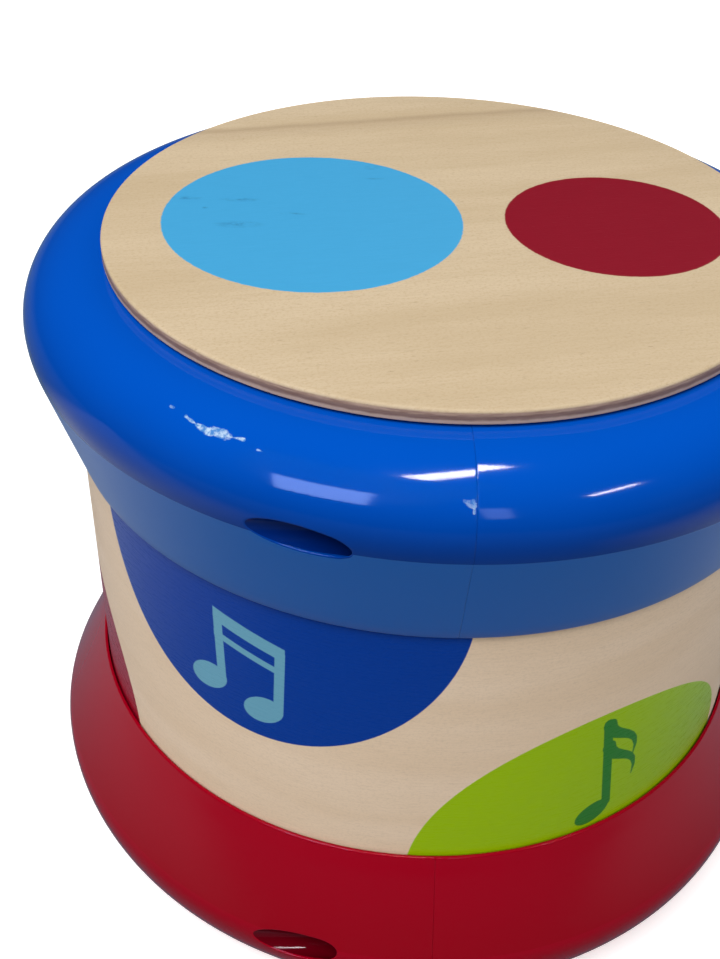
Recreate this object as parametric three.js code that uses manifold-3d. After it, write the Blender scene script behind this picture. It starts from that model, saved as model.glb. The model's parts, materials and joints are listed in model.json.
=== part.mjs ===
// A baby drum: a bent-wood shell stands between two moulded decks, two-part plastic rings clamp
// the decks' flanges, and a sprung plywood head taps a switch under each of its two pads.
// Millimetres, +Z up. The origin is on the floor, on the drum's axis. The rings part at x = 0.
import * as THREE from "three";
import { mergeVertices } from "three/addons/utils/BufferGeometryUtils.js";
import Module from "manifold-3d";

const wasm = await Module();
wasm.setup();

// Fits
const FIT = 0.3; // gap round a piece that fits in another
const SEAT = 0.05; // gap where two flat faces bear on each other
const SEAM = 0.15; // gap between the two halves of a ring
const MERGE = 1e-4; // vertices nearer than this are one vertex
const PAST = 1; // how far a cutting solid runs past the face it cuts

// Facets
const WIDE_SIDES = 40;
const MID_SIDES = 16;
const SMALL_SIDES = 8;
const SCREW_SIDES = 6;
const CROWN_FACETS = 5;
const TURN_FACETS = 2;
const HOLLOW_FACETS = 2; // inside a ring's crown
const HOLLOW_SIDES = 20; // inside a ring

// Shell and decks
const OVERALL_HEIGHT = 135;
const SHELL_RADIUS = 71.5;
const SHELL_WALL = 3.2;
const FLANGE_THICKNESS = 3; // edge of each deck, under the shell's end
const FLANGE_REACH = 2; // how far that edge stands past the shell, into the ring's groove
const DECK_WALL = 2.2;
const DECK_DEPTH = 9.2; // from the top deck's flange down to its floor
const DECK_FLOOR = 2.4;
const SPIGOT_HEIGHT = 6; // wall of the base plate that fits inside the shell

// Head
const HEAD_RADIUS = 64;
const HEAD_THICKNESS = 2.6;
const HEAD_ARRIS = 0.6;
const HEAD_TRAVEL = 0.5;
const HEAD_STOP_GAP = 0.1; // left under the head when it is pressed right down
const PAD_LEFT_X = -25;
const PAD_RIGHT_X = 32.75;

// Rings: sizes that both have
const RING_SKIN = 2.4;
const RING_RIB = 2.4;
const RING_RIB_COUNT = 5;
const RING_LIP = 0.6;
const BORE_RADIUS = 2.75;
const BORE_WALL = 0.9; // between the bore and the groove
const RING_SCREW_SEAT = 13; // from the seam to the bottom of the bore

// Rim
const RIM_HEIGHT = 36;
const RIM_OVERHANG = 7.9;
const RIM_CROWN_DEPTH = 10.8;
const RIM_TURN_RADIUS = 12;
const RIM_LEDGE = 3; // under the edge of the head
const RIM_MARGIN = 1.5; // flat left round the head
const RIM_GROOVE_DEPTH = 6.2; // from the crest to the deck
const RIM_SCREW_OFFSET = 2.65; // from the shell's face to the screw's axis

// Base
const BASE_HEIGHT = 37;
const BASE_OVERHANG = 11.2;
const BASE_CROWN_DEPTH = 14;
const BASE_TURN_RADIUS = 8;
const FOOT_INNER_RADIUS = 61;
const FOOT_WIDTH = 7;
const BASE_GROOVE_DEPTH = 9; // from the floor to the base plate
const BASE_SCREW_OFFSET = 5.8;

// Screws: radius of shank, radius and height of head, length under the head
const RING_SCREW = { shank: 1.3, head: 2.4, headHeight: 2, length: 22 };
const TIE_SCREW = { shank: 1.3, head: 2.8, headHeight: 2, length: 16 };
const CARRIER_SCREW = { shank: 1.3, head: 5.4, headHeight: 1.8, length: 9 };
const SMALL_SCREW = { shank: 0.9, head: 1.9, headHeight: 1.3, length: 6 };
const SPEAKER_SCREW = { shank: 0.9, head: 2.6, headHeight: 1.4, length: 3 };

// Columns that tie the decks together
const COLUMN_COUNT = 3;
const COLUMN_RADIUS = 4.6;
const COLUMN_INSET = 12; // from the shell's inner face to the column's axis
const COLUMN_SPLIT = 66; // height where the upper and lower columns meet
const COLUMN_SHOULDER = 3;

// Head carrier, posts and springs
const CARRIER_INSET = 8; // from the head's edge
const CARRIER_THICKNESS = 2.4;
const CARRIER_SKIRT = 3.5;
const POST_COUNT = 3;
const POST_RADIUS = 3.5;
const POST_INSET = 10; // from the carrier's edge
const SLEEVE_WALL = 1.6;
const SLEEVE_HEIGHT = 4.6;
const RISE_GAP = 0.15; // between the retaining screw and the deck, at rest
const SPRING_RADIUS = 7;
const SPRING_WIRE = 0.45;
const SPRING_TURNS = 4;
const SPRING_TURN_STEPS = 8;
const SPRING_SIDES = 4;

// Pad board and its switches
const BOARD_THICKNESS = 1.6;
const PAD_BOARD_STANDOFF = 3;
const PAD_BOARD_WIDTH = 13;
const PAD_BOARD_END = 7; // past each switch's axis
const PAD_BOARD_SCREW_X = [-10, 18];
const PAD_SWITCH_SIZE = 6.2;
const PAD_SWITCH_HEIGHT = 3.4;
const PLUNGER_RADIUS = 1.75;
const PLUNGER_RISE = 2;
const PLUNGER_ROOT = 1.4;
const PAD_BOSS_RADIUS = 3;
const STRIKE_GAP = 0.1; // between a plunger and the carrier's boss

// Main board and mode switch
const BOARD_Y = -45;
const BOARD_LENGTH = 44;
const BOARD_WIDTH = 22;
const BOARD_STANDOFF = 8;
const BOARD_SCREW_INSET = 4;
const BOSS_RADIUS = 2.6;
const CHIP_RADIUS = 4.5;
const CHIP_HEIGHT = 1.8;
const SWITCH_Y = -48;
const SWITCH_LENGTH = 12;
const SWITCH_WIDTH = 5;
const SWITCH_HEIGHT = 4;
const SWITCH_TRAVEL = 3; // each way from the middle
const LEVER_SIZE = 1.6;
const LEVER_ROOT = 1.6; // inside the switch
const KNOB_LENGTH = 6;
const KNOB_WIDTH = 4;
const KNOB_DROP = 2.8; // below the base plate
const KNOB_FLANGE = 1.2;
const KNOB_FLANGE_LAP = 1.4; // past the slot, at the end of travel
const KNOB_GROOVE = 0.6;

// Speaker
const SPEAKER_X = -30;
const SPEAKER_Y = 6;
const SPEAKER_RADIUS = 20;
const SPEAKER_EDGE = 2.8;
const SPEAKER_EDGE_THICKNESS = 1.2;
const SPEAKER_DEPTH = 9;
const SPEAKER_BACK_RADIUS = 11;
const SPEAKER_SHEET = 1;
const CONE_GAP = 0.6;
const CONE_SHEET = 0.6;
const CONE_NECK_RADIUS = 6.5;
const CONE_RISE = 3.8;
const CONE_TRAVEL = 0.3;
const MAGNET_RADIUS = 9.5;
const MAGNET_HEIGHT = 6;
const SPEAKER_WALL = 1.6;
const SPEAKER_WALL_HEIGHT = 3;
const SPEAKER_SCREW_COUNT = 3;
const TERMINAL_SIZE = 4;
const TERMINAL_DROP = 5; // below the basket's back
const GRILLE_PITCH = 5.2;
const GRILLE_RINGS = 2;
const GRILLE_HOLE_RADIUS = 1.5;
const GRILLE_HOLE_SIDES = 6;

// Battery well: three AAA cells side by side
const CELL_RADIUS = 5.25;
const CELL_LENGTH = 44.5;
const CELL_NUB_RADIUS = 1.9;
const CELL_NUB = 1;
const CELL_PITCH = 11.5;
const CELL_COUNT = 3;
const WELL_X = 24;
const WELL_Y = 2;
const WELL_WALL = 1.6;
const WELL_SLACK = 1.5;
const CONTACT_THICKNESS = 0.5;
const CONTACT_SIZE = 8;
const CONTACT_BUMP = 1.2;
const CONTACT_SPRING = 3.1;
const TAB_WIDTH = 3;
const TAB_REACH = 2.5;
const TAB_HEIGHT = 3.4; // above the cells' axis

// Battery door
const DOOR_THICKNESS = 1.8;
const DOOR_LEDGE = 2;
const DOOR_GAP = 0.4;
const DOOR_SCREW_LAND = 9;
const DOOR_SCREW = { shank: 1.2, head: 2.6, length: 7 };
const TONGUE_WIDTH = 8;
const TONGUE_THICKNESS = 1.4;
const TONGUE_REACH = 4;
const TONGUE_ROOT = 2;
const TONGUE_SPACING = 20;
const DOOR_BOSS_WALL = 1.4;

// Leads
const PAD_LEAD_X = 4; // where the pad lead goes through the top deck
const LEAD_RADIUS = 0.9;
const LEAD_SIDES = 8;
const LEAD_STEPS = 12;
const LEAD_RISE = 5; // straight length at a lead's end
const LEAD_CROSSING = 4; // above the battery well
const PAD_LEAD_LANDING = [8, -42]; // where each lead meets the main board
const SPEAKER_LEAD_LANDING = [-15, -41];
const POSITIVE_LEAD_LANDING = [-7, -39];
const NEGATIVE_LEAD_LANDING = [16, -41];

// Heights, from the floor up and from the head down
const plateBottom = BASE_GROOVE_DEPTH;
const plateTop = plateBottom + FLANGE_THICKNESS;
const headBottom = OVERALL_HEIGHT - HEAD_THICKNESS;
const rimCrest = headBottom - HEAD_TRAVEL - HEAD_STOP_GAP;
const deckTop = rimCrest - RIM_GROOVE_DEPTH;
const deckFlangeBottom = deckTop - FLANGE_THICKNESS;
const deckFloorTop = deckTop - DECK_DEPTH;
const deckFloorBottom = deckFloorTop - DECK_FLOOR;
const carrierBottom = headBottom - SEAT - CARRIER_THICKNESS;
const padBoardBottom = deckFloorTop + PAD_BOARD_STANDOFF + SEAT;
const padSwitchBottom = padBoardBottom + BOARD_THICKNESS + SEAT;
const padSwitchTop = padSwitchBottom + PAD_SWITCH_HEIGHT;
const plungerTop = padSwitchTop + PLUNGER_RISE;
const boardBottom = plateTop + BOARD_STANDOFF + SEAT;
const boardTop = boardBottom + BOARD_THICKNESS;

// Radii
const shellInner = SHELL_RADIUS - SHELL_WALL;
const spigotRadius = shellInner - FIT;
const flangeRadius = SHELL_RADIUS + FLANGE_REACH;
const carrierRadius = HEAD_RADIUS - CARRIER_INSET;
const postCircle = carrierRadius - POST_INSET;
const columnCircle = shellInner - COLUMN_INSET;
const sleeveBore = POST_RADIUS + FIT;

// Battery well and door, in plan
const wellWidth = CELL_COUNT * CELL_PITCH + WELL_SLACK;
const wellLength =
  CELL_LENGTH + 2 * (CONTACT_THICKNESS + 2 * FIT) + CONTACT_BUMP + CONTACT_SPRING;
const wellFront = WELL_Y - wellLength / 2;
const wellBack = WELL_Y + wellLength / 2;
const cellAxis = plateBottom + DOOR_THICKNESS + FIT + CELL_RADIUS;
const wellTop = cellAxis + CELL_RADIUS + FIT;
const tongueTop = plateTop + FIT + TONGUE_THICKNESS;
const notchLength = Math.hypot(TONGUE_ROOT + DOOR_GAP, tongueTop - plateBottom) + FIT;
const doorBack = wellBack + WELL_WALL + notchLength + FIT;
const doorFront = wellFront - WELL_WALL - DOOR_SCREW_LAND;
const doorWidth = wellWidth + 2 * DOOR_LEDGE;
const doorScrewY = doorFront + DOOR_SCREW_LAND / 2;
const doorScrewTip = DOOR_SCREW.length + SEAT;
const doorScrewSwing = doorScrewTip ** 2 / (2 * (doorBack - doorScrewY));

const RIM = {
  side: -1, // the crest is up, so depth runs down
  height: RIM_HEIGHT,
  reach: SHELL_RADIUS + RIM_OVERHANG,
  crownStart: HEAD_RADIUS + RIM_MARGIN,
  crownDepth: RIM_CROWN_DEPTH,
  turnRadius: RIM_TURN_RADIUS,
  bore: HEAD_RADIUS - RIM_LEDGE,
  grooveDepth: RIM_GROOVE_DEPTH,
  screwAxis: SHELL_RADIUS + RIM_SCREW_OFFSET,
};

const BASE = {
  side: 1,
  height: BASE_HEIGHT,
  reach: SHELL_RADIUS + BASE_OVERHANG,
  crownStart: FOOT_INNER_RADIUS + FOOT_WIDTH,
  crownDepth: BASE_CROWN_DEPTH,
  turnRadius: BASE_TURN_RADIUS,
  bore: FOOT_INNER_RADIUS,
  grooveDepth: BASE_GROOVE_DEPTH,
  screwAxis: SHELL_RADIUS + BASE_SCREW_OFFSET,
};

const drum = new THREE.Group();

const FINISHES = {
  birch: { color: 0xd0bb98, roughness: 0.55, metalness: 0 },
  blue: { color: 0x0a4fc0, roughness: 0.2, metalness: 0 },
  red: { color: 0x95061f, roughness: 0.2, metalness: 0 },
  grey: { color: 0xc9ccd0, roughness: 0.5, metalness: 0 },
  black: { color: 0x222427, roughness: 0.5, metalness: 0 },
  board: { color: 0x1f6b3c, roughness: 0.45, metalness: 0 },
  steel: { color: 0xb8bcc0, roughness: 0.3, metalness: 1 },
  ferrite: { color: 0x33363a, roughness: 0.7, metalness: 0.3 },
  cell: { color: 0x3a6f52, roughness: 0.35, metalness: 0.4 },
  wire: { color: 0x8c1f1f, roughness: 0.6, metalness: 0 },
};

// Adds a named piece to a group, with its own material.
function addPiece(name, geometry, finish, group = drum) {
  const mesh = new THREE.Mesh(geometry, new THREE.MeshStandardMaterial(FINISHES[finish]));
  mesh.name = name;
  group.add(mesh);
  return mesh;
}

// A closed geometry as a solid that can be joined and cut.
function solid(geometry) {
  const bare = new THREE.BufferGeometry();
  bare.setAttribute("position", geometry.getAttribute("position"));
  bare.setIndex(geometry.index);
  const merged = mergeVertices(bare, MERGE);
  const corners = merged.index.array;
  const kept = [];
  for (let i = 0; i < corners.length; i += 3) {
    const [a, b, c] = corners.slice(i, i + 3);
    if (a !== b && b !== c && c !== a) kept.push(a, b, c);
  }
  const mesh = new wasm.Mesh({
    numProp: 3,
    vertProperties: merged.attributes.position.array,
    triVerts: new Uint32Array(kept),
  });
  return new wasm.Manifold(mesh);
}

function geometryOf(body) {
  const mesh = body.getMesh();
  const geometry = new THREE.BufferGeometry();
  geometry.setAttribute("position", new THREE.BufferAttribute(mesh.vertProperties, 3));
  geometry.setIndex(new THREE.BufferAttribute(mesh.triVerts, 1));
  geometry.computeVertexNormals();
  return geometry;
}

// Turns an outline of [radius, height] points round the Z axis.
function turned(outline, sides) {
  const points = outline.map(([radius, height]) => new THREE.Vector2(radius, height));
  if (THREE.ShapeUtils.area(points) < 0) points.reverse();
  points.push(points[0].clone());
  return new THREE.LatheGeometry(points, sides).rotateX(Math.PI / 2);
}

// An upright rod between two heights.
function rod(radius, bottom, top, x, y, sides = SMALL_SIDES) {
  const geometry = new THREE.CylinderGeometry(radius, radius, top - bottom, sides);
  return solid(geometry.rotateX(Math.PI / 2).translate(x, y, (bottom + top) / 2));
}

// A rod along X between two places.
function crossRod(radius, from, to, y, z, sides = MID_SIDES) {
  const geometry = new THREE.CylinderGeometry(radius, radius, to - from, sides);
  return solid(geometry.rotateZ(Math.PI / 2).translate((from + to) / 2, y, z));
}

// A box between two corners.
function box(low, high) {
  const size = low.map((value, i) => high[i] - value);
  const centre = low.map((value, i) => (high[i] + value) / 2);
  return solid(new THREE.BoxGeometry(...size).translate(...centre));
}

function join(first, ...others) {
  return others.reduce((whole, other) => whole.add(other), first);
}

function cut(first, ...others) {
  return others.reduce((whole, other) => whole.subtract(other), first);
}

// Places evenly spaced on a circle, the first at the given angle.
function spots(count, circle, firstAngle) {
  return Array.from({ length: count }, (_, i) => {
    const angle = firstAngle + (i * 2 * Math.PI) / count;
    return [circle * Math.cos(angle), circle * Math.sin(angle)];
  });
}

const columnSpots = spots(COLUMN_COUNT, columnCircle, 0);
const postSpots = spots(POST_COUNT, postCircle, Math.PI / POST_COUNT);
const boardScrewSpots = [-1, 1].map((side) => [
  side * (BOARD_LENGTH / 2 - BOARD_SCREW_INSET),
  BOARD_Y - BOARD_WIDTH / 2 + BOARD_SCREW_INSET,
]);
const speakerWallInner = SPEAKER_RADIUS + FIT;
const speakerScrewCircle = speakerWallInner + SPEAKER_WALL;
const speakerScrewSpots = spots(SPEAKER_SCREW_COUNT, speakerScrewCircle, Math.PI / 2).map(
  ([x, y]) => [SPEAKER_X + x, SPEAKER_Y + y],
);
const speakerScrewSeat = plateTop + SEAT + SPEAKER_EDGE_THICKNESS + SEAT;

// A screw with its head below z = 0 and its shank above.
function screw({ shank, head, headHeight, length }) {
  const outline = [
    [0, -headHeight],
    [head - headHeight / 2, -headHeight],
    [head, -headHeight / 2],
    [head, 0],
    [shank, 0],
    [shank, length - shank],
    [0, length],
  ];
  return turned(outline, SCREW_SIDES);
}

// Shell
function makeShell() {
  const outline = [
    [shellInner, plateTop + SEAT],
    [SHELL_RADIUS, plateTop + SEAT],
    [SHELL_RADIUS, deckFlangeBottom - SEAT],
    [shellInner, deckFlangeBottom - SEAT],
  ];
  addPiece("drum_shell", turned(outline, WIDE_SIDES), "birch");
}

// Rings: a section is drawn as radius and depth below the crest
function coneAngle(ring, lipRadius) {
  const across = lipRadius - (ring.reach - ring.turnRadius);
  const along = ring.height - ring.crownDepth;
  return Math.atan2(along, across) - Math.acos(ring.turnRadius / Math.hypot(across, along));
}

// The crown and the turn below it, moved in by inset.
function ringFace(ring, angle, inset, crownFacets, turnFacets) {
  const crown = new THREE.EllipseCurve(
    ring.crownStart,
    ring.crownDepth,
    ring.reach - ring.crownStart - inset,
    ring.crownDepth - inset,
    -Math.PI / 2,
    0,
  );
  const turnRadius = ring.turnRadius - inset;
  const turn = new THREE.EllipseCurve(
    ring.reach - ring.turnRadius,
    ring.crownDepth,
    turnRadius,
    turnRadius,
    0,
    angle,
  );
  const face = [...crown.getPoints(crownFacets), ...turn.getPoints(turnFacets).slice(1)];
  return face.map((point) => [point.x, point.y]);
}

// The half on the +X side: its pilot hole is at the front seam and its bore at the rear one.
function ringHalf(ring) {
  const lipInner = SHELL_RADIUS + FIT;
  const lipRadius = lipInner + RING_LIP;
  const angle = coneAngle(ring, lipRadius);
  const grooveStart = ring.grooveDepth - FIT;
  const grooveEnd = ring.grooveDepth + FLANGE_THICKNESS + FIT;
  const ribBelow = grooveEnd + RING_RIB;
  const beyond = ring.reach / Math.cos(Math.PI / HOLLOW_SIDES) + PAST;
  const upright = (outline) => outline.map(([radius, depth]) => [radius, ring.side * depth]);
  // Everything past a plane through the axis, turned from the XZ plane, below the groove.
  const wedge = (turn, side) => {
    const deep = ring.height - grooveStart;
    const block = new THREE.BoxGeometry(2 * beyond, beyond, deep);
    block.translate(0, (side * beyond) / 2, ring.side * (grooveStart + deep / 2));
    return solid(block.rotateZ(turn));
  };

  const section = [
    [ring.bore, 0],
    ...ringFace(ring, angle, 0, CROWN_FACETS, TURN_FACETS),
    [lipRadius, ring.height],
    [lipInner, ring.height],
    [lipInner, grooveEnd],
    [flangeRadius + FIT, grooveEnd],
    [flangeRadius + FIT, grooveStart],
    [ring.bore, grooveStart],
  ];
  const whole = solid(turned(upright(section), WIDE_SIDES));

  // The hollow behind the skin, with a solid band at the groove, ribs and end blocks left in it.
  const innerFace = ringFace(ring, angle, RING_SKIN, HOLLOW_FACETS, 1);
  const [turnEnd, turnDepth] = innerFace.at(-1);
  const meetDepth = turnDepth + (turnEnd - lipInner) / Math.tan(angle);
  const inside = ring.bore + RING_SKIN;
  const core = [[inside, RING_SKIN], ...innerFace, [lipInner, meetDepth], [inside, meetDepth]];
  const band = [
    [inside - PAST, grooveStart + SEAT],
    [beyond, grooveStart + SEAT],
    [beyond, ribBelow],
    [inside - PAST, ribBelow],
  ];
  const pilotDepth = RING_SCREW.length - RING_SCREW_SEAT + FIT;
  const boreMouth = Math.sqrt(ring.reach ** 2 - (ring.screwAxis - BORE_RADIUS) ** 2);
  const frontBlock = -Math.atan2(ring.screwAxis, pilotDepth + RING_SKIN);
  const rearBlock = Math.atan2(ring.screwAxis - BORE_RADIUS, boreMouth + RING_SKIN);
  const ribs = Array.from({ length: RING_RIB_COUNT }, (_, i) => {
    const share = (i + 1) / (RING_RIB_COUNT + 1);
    const rib = new THREE.BoxGeometry(beyond, RING_RIB, 2 * ring.height);
    return solid(rib.translate(beyond / 2, 0, 0).rotateZ(frontBlock + share * (rearBlock - frontBlock)));
  });
  const hollow = cut(
    solid(turned(upright(core), HOLLOW_SIDES)),
    solid(turned(upright(band), HOLLOW_SIDES)),
    box([-beyond, -beyond, -ring.height], [RING_SKIN, beyond, ring.height]),
    wedge(frontBlock, -1),
    wedge(rearBlock, 1),
    ...ribs,
  );

  const screwDepth = grooveEnd + BORE_WALL + BORE_RADIUS;
  const screwHeight = ring.side * screwDepth;
  const shankHole = RING_SCREW.shank + FIT;
  const half = cut(
    whole,
    box([-beyond, -beyond, -ring.height - PAST], [SEAM / 2, beyond, ring.height + PAST]),
    hollow,
    crossRod(BORE_RADIUS, RING_SCREW_SEAT, beyond, ring.screwAxis, screwHeight),
    crossRod(shankHole, -PAST, RING_SCREW_SEAT + PAST, ring.screwAxis, screwHeight, SMALL_SIDES),
    crossRod(shankHole, -PAST, pilotDepth, -ring.screwAxis, screwHeight, SMALL_SIDES),
  );
  return { geometry: geometryOf(half), screwHeight };
}

// Both halves of a ring are the same moulding, one turned half round, and so are their screws.
function makeRing(name, ring, crestHeight, finish) {
  const { geometry, screwHeight } = ringHalf(ring);
  const sides = [
    { half: "right", end: "rear", turn: 0 },
    { half: "left", end: "front", turn: Math.PI },
  ];
  for (const { half, end, turn } of sides) {
    const group = new THREE.Group();
    group.position.z = crestHeight;
    group.rotation.z = turn;
    drum.add(group);
    addPiece(`${name}_half_${half}`, geometry, finish, group);
    const fastener = addPiece(`${name}_screw_${end}`, screw(RING_SCREW), "steel", group);
    fastener.rotation.y = -Math.PI / 2;
    fastener.position.set(RING_SCREW_SEAT + SEAT, ring.screwAxis, screwHeight);
  }
}

// Top deck: a dish that hangs in the shell by its flange
function makeTopDeck() {
  const outline = [
    [0, deckFloorBottom],
    [spigotRadius, deckFloorBottom],
    [spigotRadius, deckFlangeBottom],
    [flangeRadius, deckFlangeBottom],
    [flangeRadius, deckTop],
    [spigotRadius - DECK_WALL, deckTop],
    [spigotRadius - DECK_WALL, deckFloorTop],
    [0, deckFloorTop],
  ];
  const inFloor = deckFloorTop - SEAT;
  const sleeveTop = deckFloorTop + SLEEVE_HEIGHT;
  const standoffTop = deckFloorTop + PAD_BOARD_STANDOFF;
  const pilotTop = COLUMN_SPLIT + TIE_SCREW.length;
  let deck = solid(turned(outline, WIDE_SIDES));
  for (const [x, y] of columnSpots) {
    const column = rod(COLUMN_RADIUS, COLUMN_SPLIT, inFloor, x, y);
    const pilot = rod(TIE_SCREW.shank + FIT, COLUMN_SPLIT - PAST, pilotTop, x, y);
    deck = cut(join(deck, column), pilot);
  }
  for (const [x, y] of postSpots) {
    const sleeve = rod(sleeveBore + SLEEVE_WALL, inFloor, sleeveTop, x, y, MID_SIDES);
    const bore = rod(sleeveBore, deckFloorBottom - PAST, sleeveTop + PAST, x, y, MID_SIDES);
    deck = cut(join(deck, sleeve), bore);
  }
  for (const x of PAD_BOARD_SCREW_X) {
    const boss = rod(BOSS_RADIUS, inFloor, standoffTop, x, 0);
    const pilot = rod(SMALL_SCREW.shank + FIT, deckFloorBottom - PAST, standoffTop + PAST, x, 0);
    deck = cut(join(deck, boss), pilot);
  }
  const leadHole = rod(LEAD_RADIUS + 2 * FIT, deckFloorBottom - PAST, deckFloorTop + PAST, PAD_LEAD_X, 0);
  addPiece("top_deck", geometryOf(cut(deck, leadHole)), "grey");
}

// Base plate: carries the columns, speaker, battery well, switch and main board
function makeBasePlate() {
  const spigotTop = plateTop + SPIGOT_HEIGHT;
  const outline = [
    [0, plateBottom],
    [flangeRadius, plateBottom],
    [flangeRadius, plateTop],
    [spigotRadius, plateTop],
    [spigotRadius, spigotTop],
    [spigotRadius - DECK_WALL, spigotTop],
    [spigotRadius - DECK_WALL, plateTop],
    [0, plateTop],
  ];
  const inPlate = plateTop - SEAT;
  const below = plateBottom - PAST;
  let plate = solid(turned(outline, WIDE_SIDES));

  // Columns with a deep counterbore for the tie screws
  for (const [x, y] of columnSpots) {
    const columnTop = COLUMN_SPLIT - SEAT;
    const shoulder = columnTop - COLUMN_SHOULDER;
    plate = cut(
      join(plate, rod(COLUMN_RADIUS, inPlate, columnTop, x, y)),
      rod(TIE_SCREW.head + FIT, below, shoulder, x, y),
      rod(TIE_SCREW.shank + FIT, below, columnTop + PAST, x, y),
    );
  }

  // Speaker wall, bosses and grille
  const wallTop = plateTop + SPEAKER_WALL_HEIGHT;
  const wall = [
    [speakerWallInner, inPlate],
    [speakerWallInner + SPEAKER_WALL, inPlate],
    [speakerWallInner + SPEAKER_WALL, wallTop],
    [speakerWallInner, wallTop],
  ];
  plate = join(plate, solid(turned(wall, MID_SIDES).translate(SPEAKER_X, SPEAKER_Y, 0)));
  const bossTop = speakerScrewSeat - SEAT;
  for (const [x, y] of speakerScrewSpots) {
    const pilotBottom = speakerScrewSeat - SPEAKER_SCREW.length - FIT;
    plate = cut(
      join(plate, rod(BOSS_RADIUS, inPlate, bossTop, x, y)),
      rod(SPEAKER_SCREW.head + FIT, bossTop, wallTop + PAST, x, y),
      rod(SPEAKER_SCREW.shank + FIT, pilotBottom, bossTop + PAST, x, y),
    );
  }
  plate = cut(plate, rod(speakerWallInner, plateTop, wallTop + PAST, SPEAKER_X, SPEAKER_Y, MID_SIDES));
  for (let ring = 0; ring <= GRILLE_RINGS; ring += 1) {
    const holes = spots(Math.max(1, 6 * ring), ring * GRILLE_PITCH, 0);
    const drills = holes.map(([x, y]) =>
      rod(GRILLE_HOLE_RADIUS, below, plateTop + PAST, SPEAKER_X + x, SPEAKER_Y + y, GRILLE_HOLE_SIDES),
    );
    plate = cut(plate, ...drills);
  }

  // Main board bosses and the switch slot
  const bossHeight = boardBottom - SEAT;
  for (const [x, y] of boardScrewSpots) {
    plate = cut(
      join(plate, rod(BOSS_RADIUS, inPlate, bossHeight, x, y)),
      rod(SMALL_SCREW.shank + FIT, plateTop, bossHeight + PAST, x, y),
    );
  }
  const slotLength = KNOB_LENGTH / 2 + SWITCH_TRAVEL + FIT;
  const slotWidth = KNOB_WIDTH / 2 + FIT;
  plate = cut(
    plate,
    box([-slotLength, SWITCH_Y - slotWidth, below], [slotLength, SWITCH_Y + slotWidth, plateTop + PAST]),
  );

  // Battery well, door recess, tongue notches and door boss
  const half = wellWidth / 2;
  const outer = half + WELL_WALL;
  const doorTop = plateBottom + DOOR_THICKNESS;
  const recess = doorWidth / 2 + DOOR_GAP;
  const bossRadius = DOOR_SCREW.shank + FIT + doorScrewSwing + DOOR_BOSS_WALL;
  const bossRoof = plateBottom + doorScrewTip + FIT;
  plate = join(
    plate,
    box(
      [WELL_X - outer, wellFront - WELL_WALL, inPlate],
      [WELL_X + outer, wellBack + WELL_WALL, wellTop + WELL_WALL],
    ),
    rod(bossRadius, inPlate, bossRoof, WELL_X, doorScrewY),
  );
  plate = cut(
    plate,
    box([WELL_X - half, wellFront, below], [WELL_X + half, wellBack, wellTop]),
    box(
      [WELL_X - recess, doorFront - DOOR_GAP, below],
      [WELL_X + recess, doorBack + DOOR_GAP, doorTop + SEAT],
    ),
    rod(bossRadius - DOOR_BOSS_WALL, below, bossRoof + PAST, WELL_X, doorScrewY),
    ...tongueCentres().map((x) =>
      box(
        [x - TONGUE_WIDTH / 2 - DOOR_GAP, doorBack - notchLength, below],
        [x + TONGUE_WIDTH / 2 + DOOR_GAP, doorBack + DOOR_GAP, plateTop + PAST],
      ),
    ),
    ...tabSpots().map(({ x, wallY }) =>
      box(
        [x - TAB_WIDTH / 2 - FIT, wallY - WELL_WALL - PAST, cellAxis + TAB_HEIGHT - FIT],
        [x + TAB_WIDTH / 2 + FIT, wallY + WELL_WALL + PAST, cellAxis + TAB_HEIGHT + CONTACT_THICKNESS + FIT],
      ),
    ),
  );
  addPiece("base_plate", geometryOf(plate), "red");
}

function tongueCentres() {
  return [-1, 1].map((side) => WELL_X + (side * TONGUE_SPACING) / 2);
}

function cellX(index) {
  return WELL_X + (index - (CELL_COUNT - 1) / 2) * CELL_PITCH;
}

// Where the two end contacts pass through the well's walls.
function tabSpots() {
  const last = CELL_COUNT - 1;
  return [
    { name: "positive", x: cellX(0), wallY: wellBack, out: 1 },
    { name: "negative", x: cellX(last), wallY: last % 2 ? wellBack : wellFront, out: last % 2 ? 1 : -1 },
  ];
}

// Screws that hold the decks together
function makeTieScrews() {
  columnSpots.forEach(([x, y], i) => {
    const fastener = addPiece(`tie_screw_${i + 1}`, screw(TIE_SCREW), "steel");
    fastener.position.set(x, y, COLUMN_SPLIT - SEAT - COLUMN_SHOULDER - SEAT);
  });
}

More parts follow.
